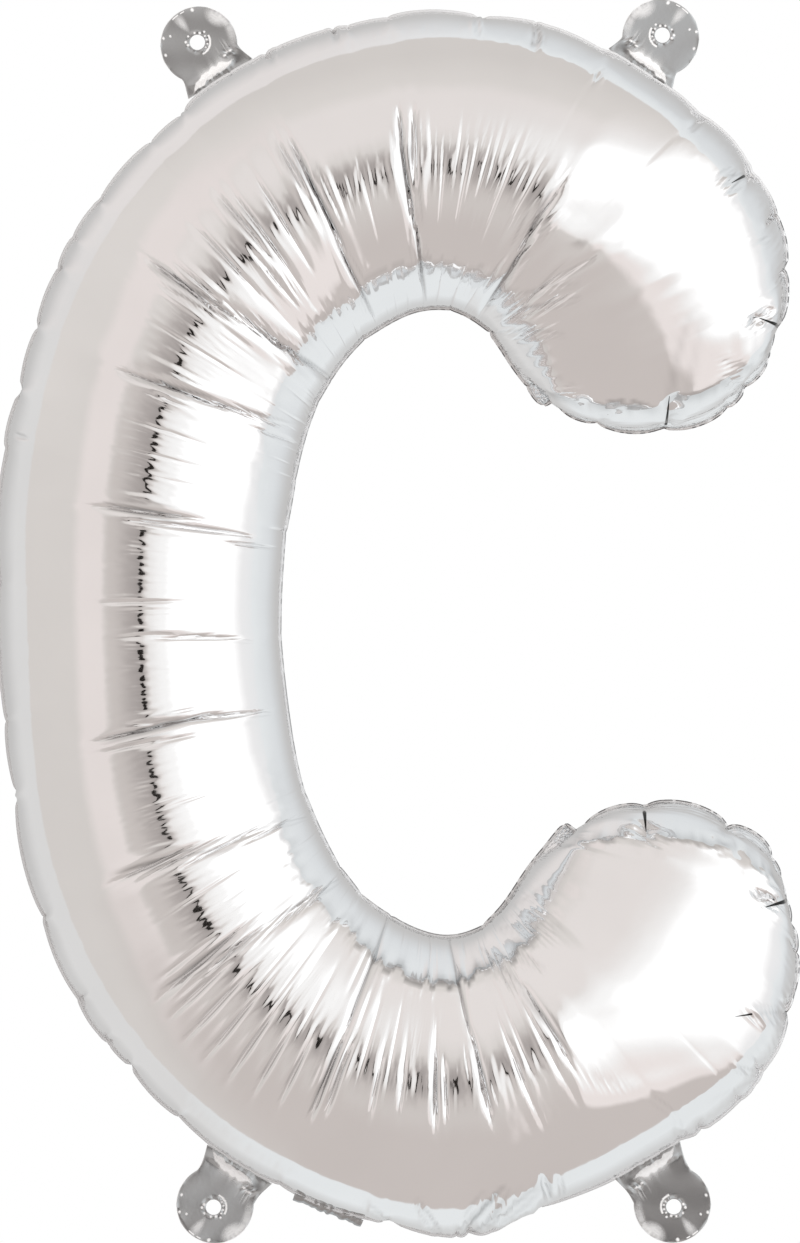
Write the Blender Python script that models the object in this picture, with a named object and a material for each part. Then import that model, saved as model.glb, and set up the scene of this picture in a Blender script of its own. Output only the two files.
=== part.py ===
"""Letter foil balloon: a silver letter C with four hanging tabs, filled with air.

Two sheets of foil are welded together round the letter's outline and blown up, so each sheet is half a
tube that follows the stroke of the letter. The welded border stands out round the edge and carries the
tabs and the inflation tail.

The frame: +Z up, +X to the reader's right, the front faces -Y. The origin is the middle of the line
between the holes of the two top tabs, in the plane of the weld. Run it in Blender's text editor or with
blender --background --python part.py.
"""
import math

import bpy
import numpy as np

MM = 0.001

# The letter's stroke as ribs, from the top end round to the bottom end, in millimetres.
# Each rib is the outer edge's x and z, then the inner edge's x and z.
RIBS = (
    (110.0, -101.4, 38.7, -117.8),
    (115.2, -78.2, 30.9, -109.9),
    (107.1, -49.8, 24.0, -100.5),
    (85.2, -24.6, 16.2, -92.3),
    (47.6, -0.7, 8.3, -88.0),
    (6.7, 7.4, -1.5, -87.1),
    (-33.5, 0.9, -12.9, -91.0),
    (-73.4, -18.7, -27.6, -102.1),
    (-108.1, -54.0, -38.4, -118.4),
    (-130.3, -101.8, -45.0, -139.0),
    (-138.8, -150.5, -48.2, -165.2),
    (-139.1, -191.3, -49.2, -190.4),
    (-137.2, -232.9, -47.2, -215.9),
    (-129.3, -275.4, -42.7, -241.4),
    (-109.0, -318.9, -34.5, -262.3),
    (-76.0, -355.5, -23.0, -279.0),
    (-32.5, -380.0, -8.7, -290.4),
    (9.3, -389.2, 5.1, -294.3),
    (45.9, -377.1, 16.2, -290.7),
    (83.5, -356.1, 25.3, -282.9),
    (109.7, -332.9, 32.9, -272.1),
    (118.8, -302.5, 39.4, -264.9),
    (113.3, -274.4, 46.3, -258.7),
)

# How far each rounded end of the stroke stands out past its last rib.
TOP_END_BULGE = 17.7 * MM
TOP_END_SKEW = 1.0
BOTTOM_END_BULGE = 16.3 * MM
BOTTOM_END_SKEW = 0.9
END_ROUNDNESS = 0.72
END_BLEND = 0.16

# The blown-up section: its depth, the share of the stroke over which each end rises to it and how fully
# it does so, and the wall
LETTER_DEPTH = 80 * MM
END_PILLOW = 0.158
END_POWER = 1.5
FILM_WALL = 2 * MM
STROKE_LENGTH_TO_WIDTH = 7

# The welded border
BORDER_THICKNESS = 0.8 * MM
BORDER_OUTSIDE = 2 * MM
BORDER_INSIDE = 2 * MM
FIT_GAP = 0.3 * MM

# The hanging tabs
TAB_RADIUS = 12.6 * MM
TAB_THICKNESS = 0.6 * MM
TAB_ROOT_HALF_WIDTH = 12.4 * MM
TAB_NECK_HALF_WIDTH = 10.9 * MM
TAB_NECK_SHARE = 0.33
TAB_DISC_START = math.radians(-31)
TAB_ROOT_STOPS = (-0.4, 0.4)
HOLE_RADIUS = 2.5 * MM
HOLE_OFFSET = 1.0 * MM
HINGE_GAP = 0.75 * MM

# Each tab's place as a share of the outer edge, from the top end to the bottom end, and how far its
# disc's centre stands out from the border
TAB_PLACES = {
    "tab_top_right": (0.1204, 12.2 * MM),
    "tab_top_left": (0.2782, 13.0 * MM),
    "tab_bottom_left": (0.7205, 15.2 * MM),
    "tab_bottom_right": (0.8761, 16.4 * MM),
}

# The inflation tail
TAIL_PLACE = 0.758
TAIL_WIDTH = 24 * MM
TAIL_LENGTH = 30 * MM
TAIL_THICKNESS = 0.8 * MM
TAIL_FOLD = math.radians(105)
TAIL_START = 0.8 * MM
TAIL_TAPER = 0.86

# Mesh resolution
ALONG = 72
ACROSS = 10
END_CLUSTER = 0.72
DISC_POINTS = 26
EDGE_SAMPLES = 1200
EDGE_REACH = 4
SHARP_ANGLE = math.radians(50)

# Colours, and the roughness of each foil
SILVER = (0.83, 0.82, 0.81)
TAB_SILVER = (0.62, 0.62, 0.62)
FILM_GLOSS = 0.08
BORDER_GLOSS = 0.2
TAB_GLOSS = 0.22
TAIL_GLOSS = 0.3


def smooth_curve(points, where):
    """Natural cubic spline through the points, read at the shares in where, from 0 to 1."""
    points = np.array(points, float)
    count = len(points)
    matrix = np.zeros((count, count))
    right = np.zeros_like(points)
    matrix[0, 0] = 1
    matrix[-1, -1] = 1
    for row in range(1, count - 1):
        matrix[row, row - 1:row + 2] = (1, 4, 1)
        right[row] = 6 * (points[row - 1] - 2 * points[row] + points[row + 1])
    bend = np.linalg.solve(matrix, right)
    place = np.asarray(where, float) * (count - 1)
    low = np.minimum(place.astype(int), count - 2)
    high = low + 1
    step = (place - low)[:, None]
    back = 1 - step
    straight = points[low] * back + points[high] * step
    return straight + ((back ** 3 - back) * bend[low] + (step ** 3 - step) * bend[high]) / 6


def end_curve(outer, inner, bulge, skew, side, across):
    """The rounded end of the stroke, from its outer corner to its inner corner."""
    chord = inner - outer
    normal = side * np.array([-chord[1], chord[0]]) / np.linalg.norm(chord)
    skewed = across ** skew
    swell = (4 * skewed * (1 - skewed)) ** END_ROUNDNESS
    return outer + across[:, None] * chord + (bulge * swell)[:, None] * normal


def letter_grid(along, across):
    """Flat points of the letter at every pair of the shares along and across the stroke."""
    ribs = smooth_curve(RIBS, along) * MM
    ends = smooth_curve(RIBS, np.array([0.0, 1.0])) * MM
    outer = ribs[:, None, :2]
    inner = ribs[:, None, 2:]
    share = across[None, :, None]
    grid = outer * (1 - share) + inner * share
    top = end_curve(ends[0, :2], ends[0, 2:], TOP_END_BULGE, TOP_END_SKEW, 1, across)
    bottom = end_curve(ends[1, :2], ends[1, 2:], BOTTOM_END_BULGE, BOTTOM_END_SKEW, -1, across)
    top_chord = ends[0, :2] * (1 - across[:, None]) + ends[0, 2:] * across[:, None]
    bottom_chord = ends[1, :2] * (1 - across[:, None]) + ends[1, 2:] * across[:, None]
    near_top = np.clip(1 - along / END_BLEND, 0, 1)[:, None, None] ** 2
    near_bottom = np.clip(1 - (1 - along) / END_BLEND, 0, 1)[:, None, None] ** 2
    return grid + near_top * (top - top_chord)[None] + near_bottom * (bottom - bottom_chord)[None]


def pillow(share, power):
    """Profile that rises upright from 0 at the edge to 1 at the crest, round where the power is 2."""
    return np.sqrt(1 - (1 - np.clip(share, 0, 1)) ** power)


def sheet_depth(along, across, depth):
    """How far the blown-up sheet stands off the weld's plane."""
    over_width = pillow(1 - np.abs(2 * across - 1), 2)[None, :]
    over_length = pillow(np.minimum(along, 1 - along) / END_PILLOW, END_POWER)[:, None]
    return depth * over_width * over_length


def grid_shares():
    """Shares along and across the stroke, closer together near the edges, where the sheet is steep."""
    even = np.linspace(0, 1, ALONG + 1)
    along = even - END_CLUSTER * np.sin(2 * math.pi * even) / (2 * math.pi)
    across = (1 - np.cos(math.pi * np.linspace(0, 1, ACROSS + 1))) / 2
    return along, across


def rim_loop(rows, columns):
    """Indices of a grid's boundary, once round."""
    top = [column for column in range(columns)]
    right = [row * columns + columns - 1 for row in range(1, rows)]
    bottom = [(rows - 1) * columns + column for column in range(columns - 2, -1, -1)]
    left = [row * columns for row in range(rows - 2, 0, -1)]
    return top + right + bottom + left


def new_material(name, colour, roughness):
    material = bpy.data.materials.new(name)
    material.use_nodes = True
    shader = material.node_tree.nodes["Principled BSDF"]
    shader.inputs["Base Color"].default_value = (*colour, 1)
    shader.inputs["Metallic"].default_value = 1
    shader.inputs["Roughness"].default_value = roughness
    return material


def add_object(name, points, faces, material, smooth, origin=(0, 0, 0)):
    """One closed solid whose object origin is at the given point."""
    local = np.asarray(points) - np.asarray(origin)
    mesh = bpy.data.meshes.new(name)
    mesh.from_pydata([tuple(point) for point in local], [], faces)
    mesh.materials.append(material)
    mesh.update()
    solid = bpy.data.objects.new(name, mesh)
    solid.location = origin
    bpy.context.scene.collection.objects.link(solid)
    if smooth:
        mesh.shade_smooth()
        mesh.set_sharp_from_angle(angle=SHARP_ANGLE)
    return solid


def film_sheet(name, side, material):
    """Half of the envelope: an outer skin, an inner skin and the flat rim that joins them."""
    along, across = grid_shares()
    inset = FILM_WALL / (LETTER_DEPTH + FILM_WALL)
    end_inset = inset / STROKE_LENGTH_TO_WIDTH
    inner_along = end_inset + (1 - end_inset * 2) * along
    inner_across = inset + (1 - inset * 2) * across
    seat = BORDER_THICKNESS / 2 + FIT_GAP
    skins = []
    for flat, depth in ((letter_grid(along, across), LETTER_DEPTH / 2),
                        (letter_grid(inner_along, inner_across), LETTER_DEPTH / 2 - FILM_WALL)):
        height = sheet_depth(along, across, depth - seat) + seat
        skin = np.stack([flat[..., 0], side * height, flat[..., 1]], axis=-1)
        skins.append(skin.reshape(-1, 3))
    rows = len(along)
    columns = len(across)
    size = rows * columns
    faces = []
    for row in range(rows - 1):
        for column in range(columns - 1):
            start = row * columns + column
            quad = (start, start + 1, start + columns + 1, start + columns)
            faces.append(quad)
            faces.append(tuple(size + index for index in reversed(quad)))
    rim = rim_loop(rows, columns)
    for start, end in zip(rim, rim[1:] + rim[:1]):
        faces.append((end, start, size + start, size + end))
    if side < 0:
        faces = [tuple(reversed(face)) for face in faces]
    return add_object(name, np.concatenate(skins), faces, material, smooth=True)


def offset_loop(loop, distance):
    """The closed flat loop moved along its outward normals."""
    tangent = np.roll(loop, -1, axis=0) - np.roll(loop, 1, axis=0)
    tangent /= np.linalg.norm(tangent, axis=1)[:, None]
    normal = np.stack([tangent[:, 1], -tangent[:, 0]], axis=1)
    area = np.sum(loop[:, 0] * np.roll(loop[:, 1], -1) - np.roll(loop[:, 0], -1) * loop[:, 1])
    return loop + math.copysign(distance, area * distance) * normal


def seam_border(material):
    """The welded strip round the whole letter, between the two sheets' rims."""
    along, across = grid_shares()
    flat = letter_grid(along, across)
    loop = flat.reshape(-1, 2)[rim_loop(len(along), len(across))]
    outside = offset_loop(loop, BORDER_OUTSIDE)
    inside = offset_loop(loop, -BORDER_INSIDE)
    half = BORDER_THICKNESS / 2
    rings = []
    for ring, height in ((outside, -half), (outside, half), (inside, half), (inside, -half)):
        rings.append(np.stack([ring[:, 0], np.full(len(ring), height), ring[:, 1]], axis=1))
    count = len(loop)
    faces = []
    for ring in range(4):
        following = (ring + 1) % 4
        for index in range(count):
            near = (index + 1) % count
            faces.append((ring * count + index, following * count + index,
                          following * count + near, ring * count + near))
    return add_object("seam_border", np.concatenate(rings), faces, material, smooth=False)


def edge_frame(place):
    """Point on the border's outer edge at a share of its length, with its outward and sideways lines."""
    edge = smooth_curve(RIBS, np.linspace(0, 1, EDGE_SAMPLES))[:, :2] * MM
    steps = np.linalg.norm(np.diff(edge, axis=0), axis=1)
    travelled = np.concatenate([[0], np.cumsum(steps)]) / steps.sum()
    index = int(np.searchsorted(travelled, place))
    sideways = edge[index + EDGE_REACH] - edge[index - EDGE_REACH]
    sideways /= np.linalg.norm(sideways)
    outward = np.array([sideways[1], -sideways[0]])
    if np.dot(outward, edge[index] - edge.mean(axis=0)) < 0:
        outward = -outward
    return edge[index] + outward * BORDER_OUTSIDE, outward, sideways


def tab_outline(standoff):
    """Outline of a tab and its hole, as sideways and outward distances from the hinge line."""
    root = HINGE_GAP / 2
    stop = math.pi - TAB_DISC_START
    disc = []
    for turn in np.linspace(TAB_DISC_START, stop, DISC_POINTS):
        disc.append((TAB_RADIUS * math.cos(turn), standoff + TAB_RADIUS * math.sin(turn)))
    left_neck = (-TAB_NECK_HALF_WIDTH, TAB_NECK_SHARE * standoff)
    right_neck = (TAB_NECK_HALF_WIDTH, TAB_NECK_SHARE * standoff)
    left_root = (-TAB_ROOT_HALF_WIDTH, root)
    right_root = (TAB_ROOT_HALF_WIDTH, root)
    middle = [(share * TAB_ROOT_HALF_WIDTH, root) for share in TAB_ROOT_STOPS]
    outline = np.array(disc + [left_neck, left_root] + middle + [right_root, right_neck])
    centre = np.array([0, standoff + HOLE_OFFSET])
    ray = outline - centre
    hole = centre + HOLE_RADIUS * ray / np.linalg.norm(ray, axis=1)[:, None]
    return outline, hole


def hanging_tab(name, place, standoff, material):
    """A flat tab with a punched hole, its origin on the fold line at its root."""
    base, outward, sideways = edge_frame(place)
    hinge = base + outward * HINGE_GAP / 2
    outline, hole = tab_outline(standoff)
    half = TAB_THICKNESS / 2
    rings = []
    for ring, height in ((outline, -half), (outline, half), (hole, half), (hole, -half)):
        flat = hinge + ring[:, :1] * sideways + ring[:, 1:] * outward
        rings.append(np.stack([flat[:, 0], np.full(len(ring), height), flat[:, 1]], axis=1))
    count = len(outline)
    faces = []
    for ring in range(4):
        following = (ring + 1) % 4
        for index in range(count):
            near = (index + 1) % count
            faces.append((ring * count + index, ring * count + near,
                          following * count + near, following * count + index))
    return add_object(name, np.concatenate(rings), faces, material, smooth=False,
                      origin=(hinge[0], 0, hinge[1]))


def inflation_tail(material):
    """The flat filling neck, folded up behind the letter, its origin on its fold line."""
    base, outward, sideways = edge_frame(TAIL_PLACE)
    hinge = base + outward * HINGE_GAP / 2
    out = np.array([outward[0], 0, outward[1]])
    back = np.array([0, 1.0, 0])
    along = math.cos(TAIL_FOLD) * out + math.sin(TAIL_FOLD) * back
    face = math.cos(TAIL_FOLD) * back - math.sin(TAIL_FOLD) * out
    side = np.array([sideways[0], 0, sideways[1]])
    mouth = 0.5 * TAIL_TAPER
    corners = ((-0.5, TAIL_START), (0.5, TAIL_START), (mouth, TAIL_LENGTH), (-mouth, TAIL_LENGTH))
    origin = np.array([hinge[0], 0, hinge[1]])
    points = []
    for level in (-TAIL_THICKNESS / 2, TAIL_THICKNESS / 2):
        for across, reach in corners:
            points.append(origin + side * across * TAIL_WIDTH + along * reach + face * level)
    faces = [(3, 2, 1, 0), (4, 5, 6, 7), (0, 1, 5, 4), (1, 2, 6, 5), (2, 3, 7, 6), (3, 0, 4, 7)]
    return add_object("inflation_tail", points, faces, material, smooth=False, origin=tuple(origin))


def face_outwards(solid):
    """Turn a solid's faces round if they point into it, which makes its volume negative."""
    mesh = solid.data
    mesh.calc_loop_triangles()
    volume = 0.0
    for triangle in mesh.loop_triangles:
        first, second, third = (mesh.vertices[index].co for index in triangle.vertices)
        volume += first.dot(second.cross(third))
    if volume < 0:
        mesh.flip_normals()


def main():
    for old in list(bpy.data.objects):
        bpy.data.objects.remove(old, do_unlink=True)
    foil = new_material("silver_foil", SILVER, FILM_GLOSS)
    border = new_material("border_foil", SILVER, BORDER_GLOSS)
    flat_foil = new_material("tab_foil", TAB_SILVER, TAB_GLOSS)
    tail_foil = new_material("tail_foil", TAB_SILVER, TAIL_GLOSS)
    solids = [film_sheet("film_front", -1, foil), film_sheet("film_back", 1, foil), seam_border(border)]
    for name, (place, standoff) in TAB_PLACES.items():
        solids.append(hanging_tab(name, place, standoff, flat_foil))
    solids.append(inflation_tail(tail_foil))
    for solid in solids:
        face_outwards(solid)


main()
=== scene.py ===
import math

import bpy
import numpy as np
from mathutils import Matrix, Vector


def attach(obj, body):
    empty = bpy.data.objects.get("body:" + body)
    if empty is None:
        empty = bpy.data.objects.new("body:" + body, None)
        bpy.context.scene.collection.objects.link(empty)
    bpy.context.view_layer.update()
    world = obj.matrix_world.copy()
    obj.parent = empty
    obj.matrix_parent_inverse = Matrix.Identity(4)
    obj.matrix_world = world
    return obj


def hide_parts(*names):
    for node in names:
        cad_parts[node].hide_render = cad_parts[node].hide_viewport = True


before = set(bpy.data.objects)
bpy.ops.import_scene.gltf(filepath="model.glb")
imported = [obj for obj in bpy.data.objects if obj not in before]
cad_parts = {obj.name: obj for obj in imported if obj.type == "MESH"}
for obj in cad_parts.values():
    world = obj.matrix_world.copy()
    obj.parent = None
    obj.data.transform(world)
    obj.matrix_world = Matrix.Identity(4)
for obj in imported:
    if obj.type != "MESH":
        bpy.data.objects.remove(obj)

bl_info = {
    "name": "Letter Foil Balloon",
    "version": (1, 0, 0),
    "blender": (4, 5, 0),
    "location": "View3D > Sidebar > Foil Letter",
    "description": "A silver foil letter filled with air, with its welded border, hanging tabs and tail",
    "category": "Object",
}

MM = 0.001

# The photograph's scale and the place of the frame's origin in it
PIXEL = 0.32695
PIXEL_X = 429.5
PIXEL_Y = 39.75
PHOTO_WIDTH = 800
PHOTO_HEIGHT = 1243

# The letter's stroke as ribs, from the top end round to the bottom end, in millimetres.
# Each rib is the outer edge's x and z, then the inner edge's x and z.
RIBS = (
    (110.0, -101.4, 38.7, -117.8), (115.2, -78.2, 30.9, -109.9), (107.1, -49.8, 24.0, -100.5),
    (85.2, -24.6, 16.2, -92.3), (47.6, -0.7, 8.3, -88.0), (6.7, 7.4, -1.5, -87.1),
    (-33.5, 0.9, -12.9, -91.0), (-73.4, -18.7, -27.6, -102.1), (-108.1, -54.0, -38.4, -118.4),
    (-130.3, -101.8, -45.0, -139.0), (-138.8, -150.5, -48.2, -165.2), (-139.1, -191.3, -49.2, -190.4),
    (-137.2, -232.9, -47.2, -215.9), (-129.3, -275.4, -42.7, -241.4), (-109.0, -318.9, -34.5, -262.3),
    (-76.0, -355.5, -23.0, -279.0), (-32.5, -380.0, -8.7, -290.4), (9.3, -389.2, 5.1, -294.3),
    (45.9, -377.1, 16.2, -290.7), (83.5, -356.1, 25.3, -282.9), (109.7, -332.9, 32.9, -272.1),
    (118.8, -302.5, 39.4, -264.9), (113.3, -274.4, 46.3, -258.7),
)

# The two rounded ends: place along the stroke, how far the end stands out, its skew and its side
ENDS = ((0.0, 17.7, 1.0, 1), (1.0, 16.3, 0.9, -1))
END_ROUNDNESS = 0.72
END_BLEND = 0.16
END_PILLOW = 0.158
END_POWER = 1.35

# The width of the stroke before it was blown up, and half its width as a round tube
FLAT_WIDTH = 104.9
HALF_STROKE = 46.0

# Lobes of the weld: where each notch lies as a share of the line's length, how far the outline stands
# outside the flat letter there, and how far at the top of the lobe that follows, in millimetres
OUTER_LOBES = (
    (0, 1.6, 2.0), (0.008, 0.8, 3.0), (0.029, 0.3, 3.8), (0.049, 1.8, 4.0), (0.066, 0.8, 4.4),
    (0.094, 1.4, 4.2), (0.134, 0.8, 2.8), (0.181, 0.0, 3.2), (0.214, 1.7, 2.6), (0.229, 2.0, 3.6),
    (0.265, 2.6, 3.0), (0.297, 0.0, 1.2), (0.312, 0.2, 2.2), (0.34, 0.6, 2.8), (0.356, 1.7, 3.2),
    (0.368, 1.2, 2.8), (0.391, 0.4, 2.2), (0.414, 0.0, 2.9), (0.435, 2.2, 3.4), (0.485, 2.2, 3.2),
    (0.534, 0.8, 1.7), (0.561, -0.8, 2.6), (0.606, 0.7, 3.8), (0.638, 2.1, 4.2), (0.656, 1.7, 2.8),
    (0.668, 0.5, 3.0), (0.693, 1.1, 3.0), (0.737, 1.5, 3.0), (0.777, -0.2, 3.0), (0.831, -0.2, 3.6),
    (0.893, 3.0, 4.6), (0.916, 2.8, 4.0), (0.928, 1.0, 2.9), (0.952, -0.4, 2.4), (0.973, 1.3, 2.6),
    (0.983, 1.1, 2.2), (0.992, 1.5, 2.2), (1, 1.5, 1.5),
)
INNER_LOBES = (
    (0, 1.0, 2.2), (0.021, 0.8, 2.2), (0.08, 0.4, 1.6), (0.124, 1.1, 2.2), (0.212, 1.4, 2.6),
    (0.284, 2.2, 2.8), (0.36, 2.4, 2.4), (0.408, 1.2, 1.3), (0.5, 0.9, 1.2), (0.65, 1.0, 1.4),
    (0.723, 0.6, 1.2), (0.753, 0.6, 2.4), (0.883, 0.9, 2.4), (1, 1.0, 1.0),
)
TOP_LOBES = (
    (0, 0.9, 1.6), (0.033, 1.0, 2.1), (0.173, -0.1, 2.6), (0.271, 1.4, 3.0), (0.526, -0.6, 1.1),
    (0.789, -1.7, 0.5), (0.97, -1.5, -0.5), (1, -0.5, -0.5),
)
BOTTOM_LOBES = (
    (0, 1.2, 1.8), (0.096, 0.5, 2.5), (0.315, -1.9, 2.2), (0.673, -1.1, 1.3), (0.97, -2.6, -1.5),
    (1, -1.5, -1.5),
)

# Cushions beside the weld: place as a share of the line's length, height and width in millimetres, how
# ragged the fold at their edge is, and how dark the painted shade before that fold is
OUTER_CUSHIONS = (
    (0, 2, 8, 1, 0), (0.1, 1.8, 8, 1, 0), (0.2, 1.2, 8, 1, 0), (0.3, 0.7, 8, 1, 0), (0.7, 0.7, 8, 1, 0),
    (0.8, 0.9, 8, 1, 0), (0.9, 1.6, 8, 1, 0), (1, 2, 8, 1, 0),
)
INNER_CUSHIONS = (
    (0, 1, 8, 0.3, 0), (0.04, 2, 11, 0.3, 0.1), (0.1, 3.4, 15.5, 1, 0.16), (0.3, 2.6, 14, 1.2, 0.1),
    (0.42, 0.5, 10, 0.6, 0), (0.6, 0.5, 10, 0.6, 0), (0.72, 2.8, 13.5, 1.5, 0.24),
    (0.89, 5.4, 16, 1.3, 0.65), (0.93, 2.2, 12, 0.3, 0.1), (1, 1, 9, 0.3, 0.1),
)
TOP_CUSHIONS = ((0, 4, 11, 1, 0.3), (1, 4, 11, 1, 0.3))
BOTTOM_CUSHIONS = ((0, 4, 13, 1, 0.3), (1, 4, 13, 1, 0.3))

# Creases of the front sheet: from x, y to x, y in the photograph, half width and depth in millimetres
CREASES = (
    (277, 152, 312, 205, 1.3, 2.2), (292, 150, 345, 255, 1.6, 3.4), (330, 236, 371, 316, 1.2, 2.4),
    (397, 119, 413, 235, 1.5, 3.2), (417, 118, 413, 180, 1.2, 2.4), (412, 215, 424, 300, 1.2, 2.6),
    (551, 194, 515, 262, 1.5, 3.0), (530, 240, 483, 312, 1.4, 2.6), (152, 269, 235, 322, 1.6, 3.2),
    (220, 310, 326, 377, 1.4, 2.8), (180, 270, 225, 305, 0.9, 1.4), (220, 204, 275, 262, 1.3, 2.2),
    (238, 205, 290, 270, 1.2, 2.0), (260, 190, 300, 250, 1.0, 1.5), (250, 260, 300, 300, 1.0, 1.5),
    (205, 238, 245, 285, 1.0, 1.6), (128, 378, 218, 403, 1.5, 3.0), (160, 393, 288, 426, 1.2, 2.2),
    (255, 434, 292, 442, 0.8, 1.0), (108, 506, 192, 522, 1.5, 2.8), (128, 520, 250, 538, 1.1, 1.9),
    (220, 541, 275, 550, 0.8, 1.0), (135, 631, 250, 642, 1.0, 1.4), (110, 600, 165, 604, 0.8, 0.9),
    (104, 741, 205, 714, 1.5, 3.0), (132, 722, 268, 713, 1.1, 2.0), (140, 748, 200, 733, 0.9, 1.2),
    (122, 871, 205, 846, 1.5, 2.9), (150, 868, 252, 838, 1.1, 1.9), (195, 846, 305, 818, 1.0, 1.8),
    (168, 985, 240, 928, 1.5, 2.8), (182, 978, 270, 925, 1.2, 2.2), (255, 930, 338, 880, 1.2, 2.2),
    (176, 1008, 236, 955, 1.1, 1.8), (190, 1030, 250, 968, 1.1, 1.8), (208, 1048, 262, 990, 1.0, 1.8),
    (232, 1070, 276, 1005, 1.0, 1.8), (256, 1084, 292, 1025, 1.0, 1.7), (282, 1094, 310, 1035, 1.0, 1.7),
    (311, 1108, 345, 1030, 1.4, 2.8), (328, 1098, 352, 1040, 1.0, 1.8), (345, 1030, 386, 918, 1.3, 2.4),
    (432, 1112, 437, 1050, 1.3, 2.4), (446, 1108, 445, 1062, 1.0, 1.6), (491, 1107, 468, 1030, 1.3, 2.6),
    (470, 1035, 448, 940, 1.2, 2.2), (567, 1050, 520, 985, 1.3, 2.4), (525, 990, 478, 948, 1.1, 2.0),
    (555, 1065, 538, 1030, 1.0, 1.4), (520, 1082, 512, 1045, 1.0, 1.4), (400, 1100, 402, 1055, 1.0, 1.4),
    (372, 1102, 380, 1056, 1.0, 1.4), (498, 300, 578, 287, 1.1, 1.8), (495, 318, 580, 300, 1.2, 2.0),
    (500, 330, 565, 336, 1.1, 1.8), (515, 332, 566, 386, 1.1, 1.6), (520, 310, 560, 268, 1.0, 1.4),
    (540, 290, 590, 262, 1.0, 1.2), (500, 932, 562, 926, 1.2, 2.0), (505, 922, 558, 912, 1.0, 1.4),
    (510, 950, 545, 968, 1.0, 1.4), (515, 915, 560, 880, 1.1, 1.6), (560, 900, 585, 840, 1.2, 1.6),
    (669, 425, 672, 385, 1.2, 2.6), (602, 421, 612, 395, 1.1, 1.6), (560, 398, 575, 380, 1.0, 1.4),
    (774, 326, 735, 312, 1.3, 2.6), (738, 385, 715, 372, 1.1, 1.8), (640, 822, 648, 850, 1.2, 2.8),
    (583, 833, 590, 858, 1.0, 1.4), (724, 828, 712, 862, 1.2, 2.0), (778, 901, 745, 898, 1.3, 2.6),
    (785, 1013, 735, 1014, 1.1, 2.0), (547, 1198, 540, 1168, 1.3, 2.2), (560, 1196, 556, 1170, 1.0, 1.5),
    (560, 208, 640, 262, 1.2, 0.8), (640, 262, 676, 305, 1.2, 0.9), (676, 305, 668, 365, 1.2, 0.8),
    (669, 420, 690, 312, 3.0, 1.6), (571, 1066, 640, 1086, 1.3, 0.9), (640, 1086, 672, 1110, 1.3, 0.9),
    (672, 1110, 676, 1140, 1.3, 0.8), (742, 178, 706, 190, 1.1, 1.8), (740, 182, 722, 199, 1.0, 1.5),
    (728, 172, 705, 187, 0.9, 1.2), (700, 122, 684, 138, 1.0, 1.4), (765, 240, 748, 246, 0.9, 1.2),
    (774, 320, 752, 305, 0.9, 1.3), (668, 422, 662, 392, 0.8, 1.4), (641, 826, 634, 858, 0.9, 1.3),
    (643, 828, 655, 862, 0.9, 1.4), (778, 903, 750, 915, 0.9, 1.4), (782, 1010, 742, 1004, 0.9, 1.2),
    (752, 1072, 726, 1062, 1.0, 1.5), (750, 1078, 700, 1098, 0.9, 1.0), (690, 1136, 700, 1112, 1.0, 1.3),
    (440, 1230, 415, 1190, 1.2, 2.0), (462, 1236, 505, 1178, 2.0, 3.2), (395, 1222, 365, 1195, 1.2, 1.8),
    (485, 1222, 540, 1176, 1.4, 2.4), (452, 1234, 484, 1196, 1.0, 2.0), (706, 352, 738, 372, 0.8, 0.9),
    (534, 26, 535, 62, 1.0, 2.2), (475, 20, 477, 46, 0.8, 1.2), (262, 59, 284, 65, 0.8, 1.4),
    (331, 29, 339, 46, 0.8, 1.4), (601, 78, 588, 92, 0.9, 1.6), (20, 436, 34, 440, 0.8, 1.4),
)
BUNDLE_DEPTH = 2.4

# Folds that are pinched shut and look black: from x, y to x, y in the photograph, and half width in
# millimetres at their end
# Each of these folds is painted near black in the film's material, as painted shade.
DARK_FOLDS = (
    (757, 320, 777, 327, 0.55), (729, 186, 742, 178, 0.4), (667, 398, 665, 424, 0.4),
    (644, 830, 643, 812, 0.5), (763, 905, 784, 900, 0.6), (732, 1013, 748, 1011, 0.3),
)

# Deep folds beyond which the film falls away towards an end, from x, y to x, y in the photograph
STEPS_DOWN = ((554, 180, 546, 206), (575, 1078, 562, 1030))
STEP_SLOPE = 0.23
STEP_REACH = 15.0

# How far the strip stands out beyond the weld, the width from which a lobe is rounder, how unevenly wide
# the cushions are along the outer edge and elsewhere, and how a tab holds the weld straight beside it
STRIP_REACH = 1.3
LONG_LOBE = 45
OUTER_UNEVENNESS = 0.17
UNEVENNESS = 0.02
TAB_STANDOUT = 2.0
TAB_CALM = 13

# How far inwards the weld's lobes and its puckers reach, and how deep the puckers are
WELD_REACH = 8.0
PUCKER_REACH = 9.0
PUCKER_DEPTH = 0.75

# How the film settles: steps, rounds of each step, pressure, slowing, and how firmly it keeps its form
SETTLE_STEPS = 40
SETTLE_ROUNDS = 4
PRESSURE = 0.03
SLOWING = 0.8
SHEAR_PULL = 0.6
BEND_PULL = 0.02
FORM_HOLD = 0.006
WELD_HOLD = 0.3
SHEET_WIDTH = 134.4

# Each tab: place as a share of the outer edge, standoff of its disc from the border in millimetres,
# and the side that its crinkles face
TABS = {
    "tab_top_right": (0.1204, 12.2, 1),
    "tab_top_left": (0.2782, 13.0, -1),
    "tab_bottom_left": (0.7205, 15.2, 1),
    "tab_bottom_right": (0.8761, 16.4, -1),
}

# The border: how far out its edge lies, the gap before a hinge, the reach of the strong crimps at the
# letter's ends, the step of the swept strip, and how its outer edge is measured
BORDER_REACH = 2.0
HINGE_GAP = 0.75
CRIMP_REACH = 52
STRIP_STEP = 0.0006
EDGE_SAMPLES = 1200
EDGE_REACH = 4

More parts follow.
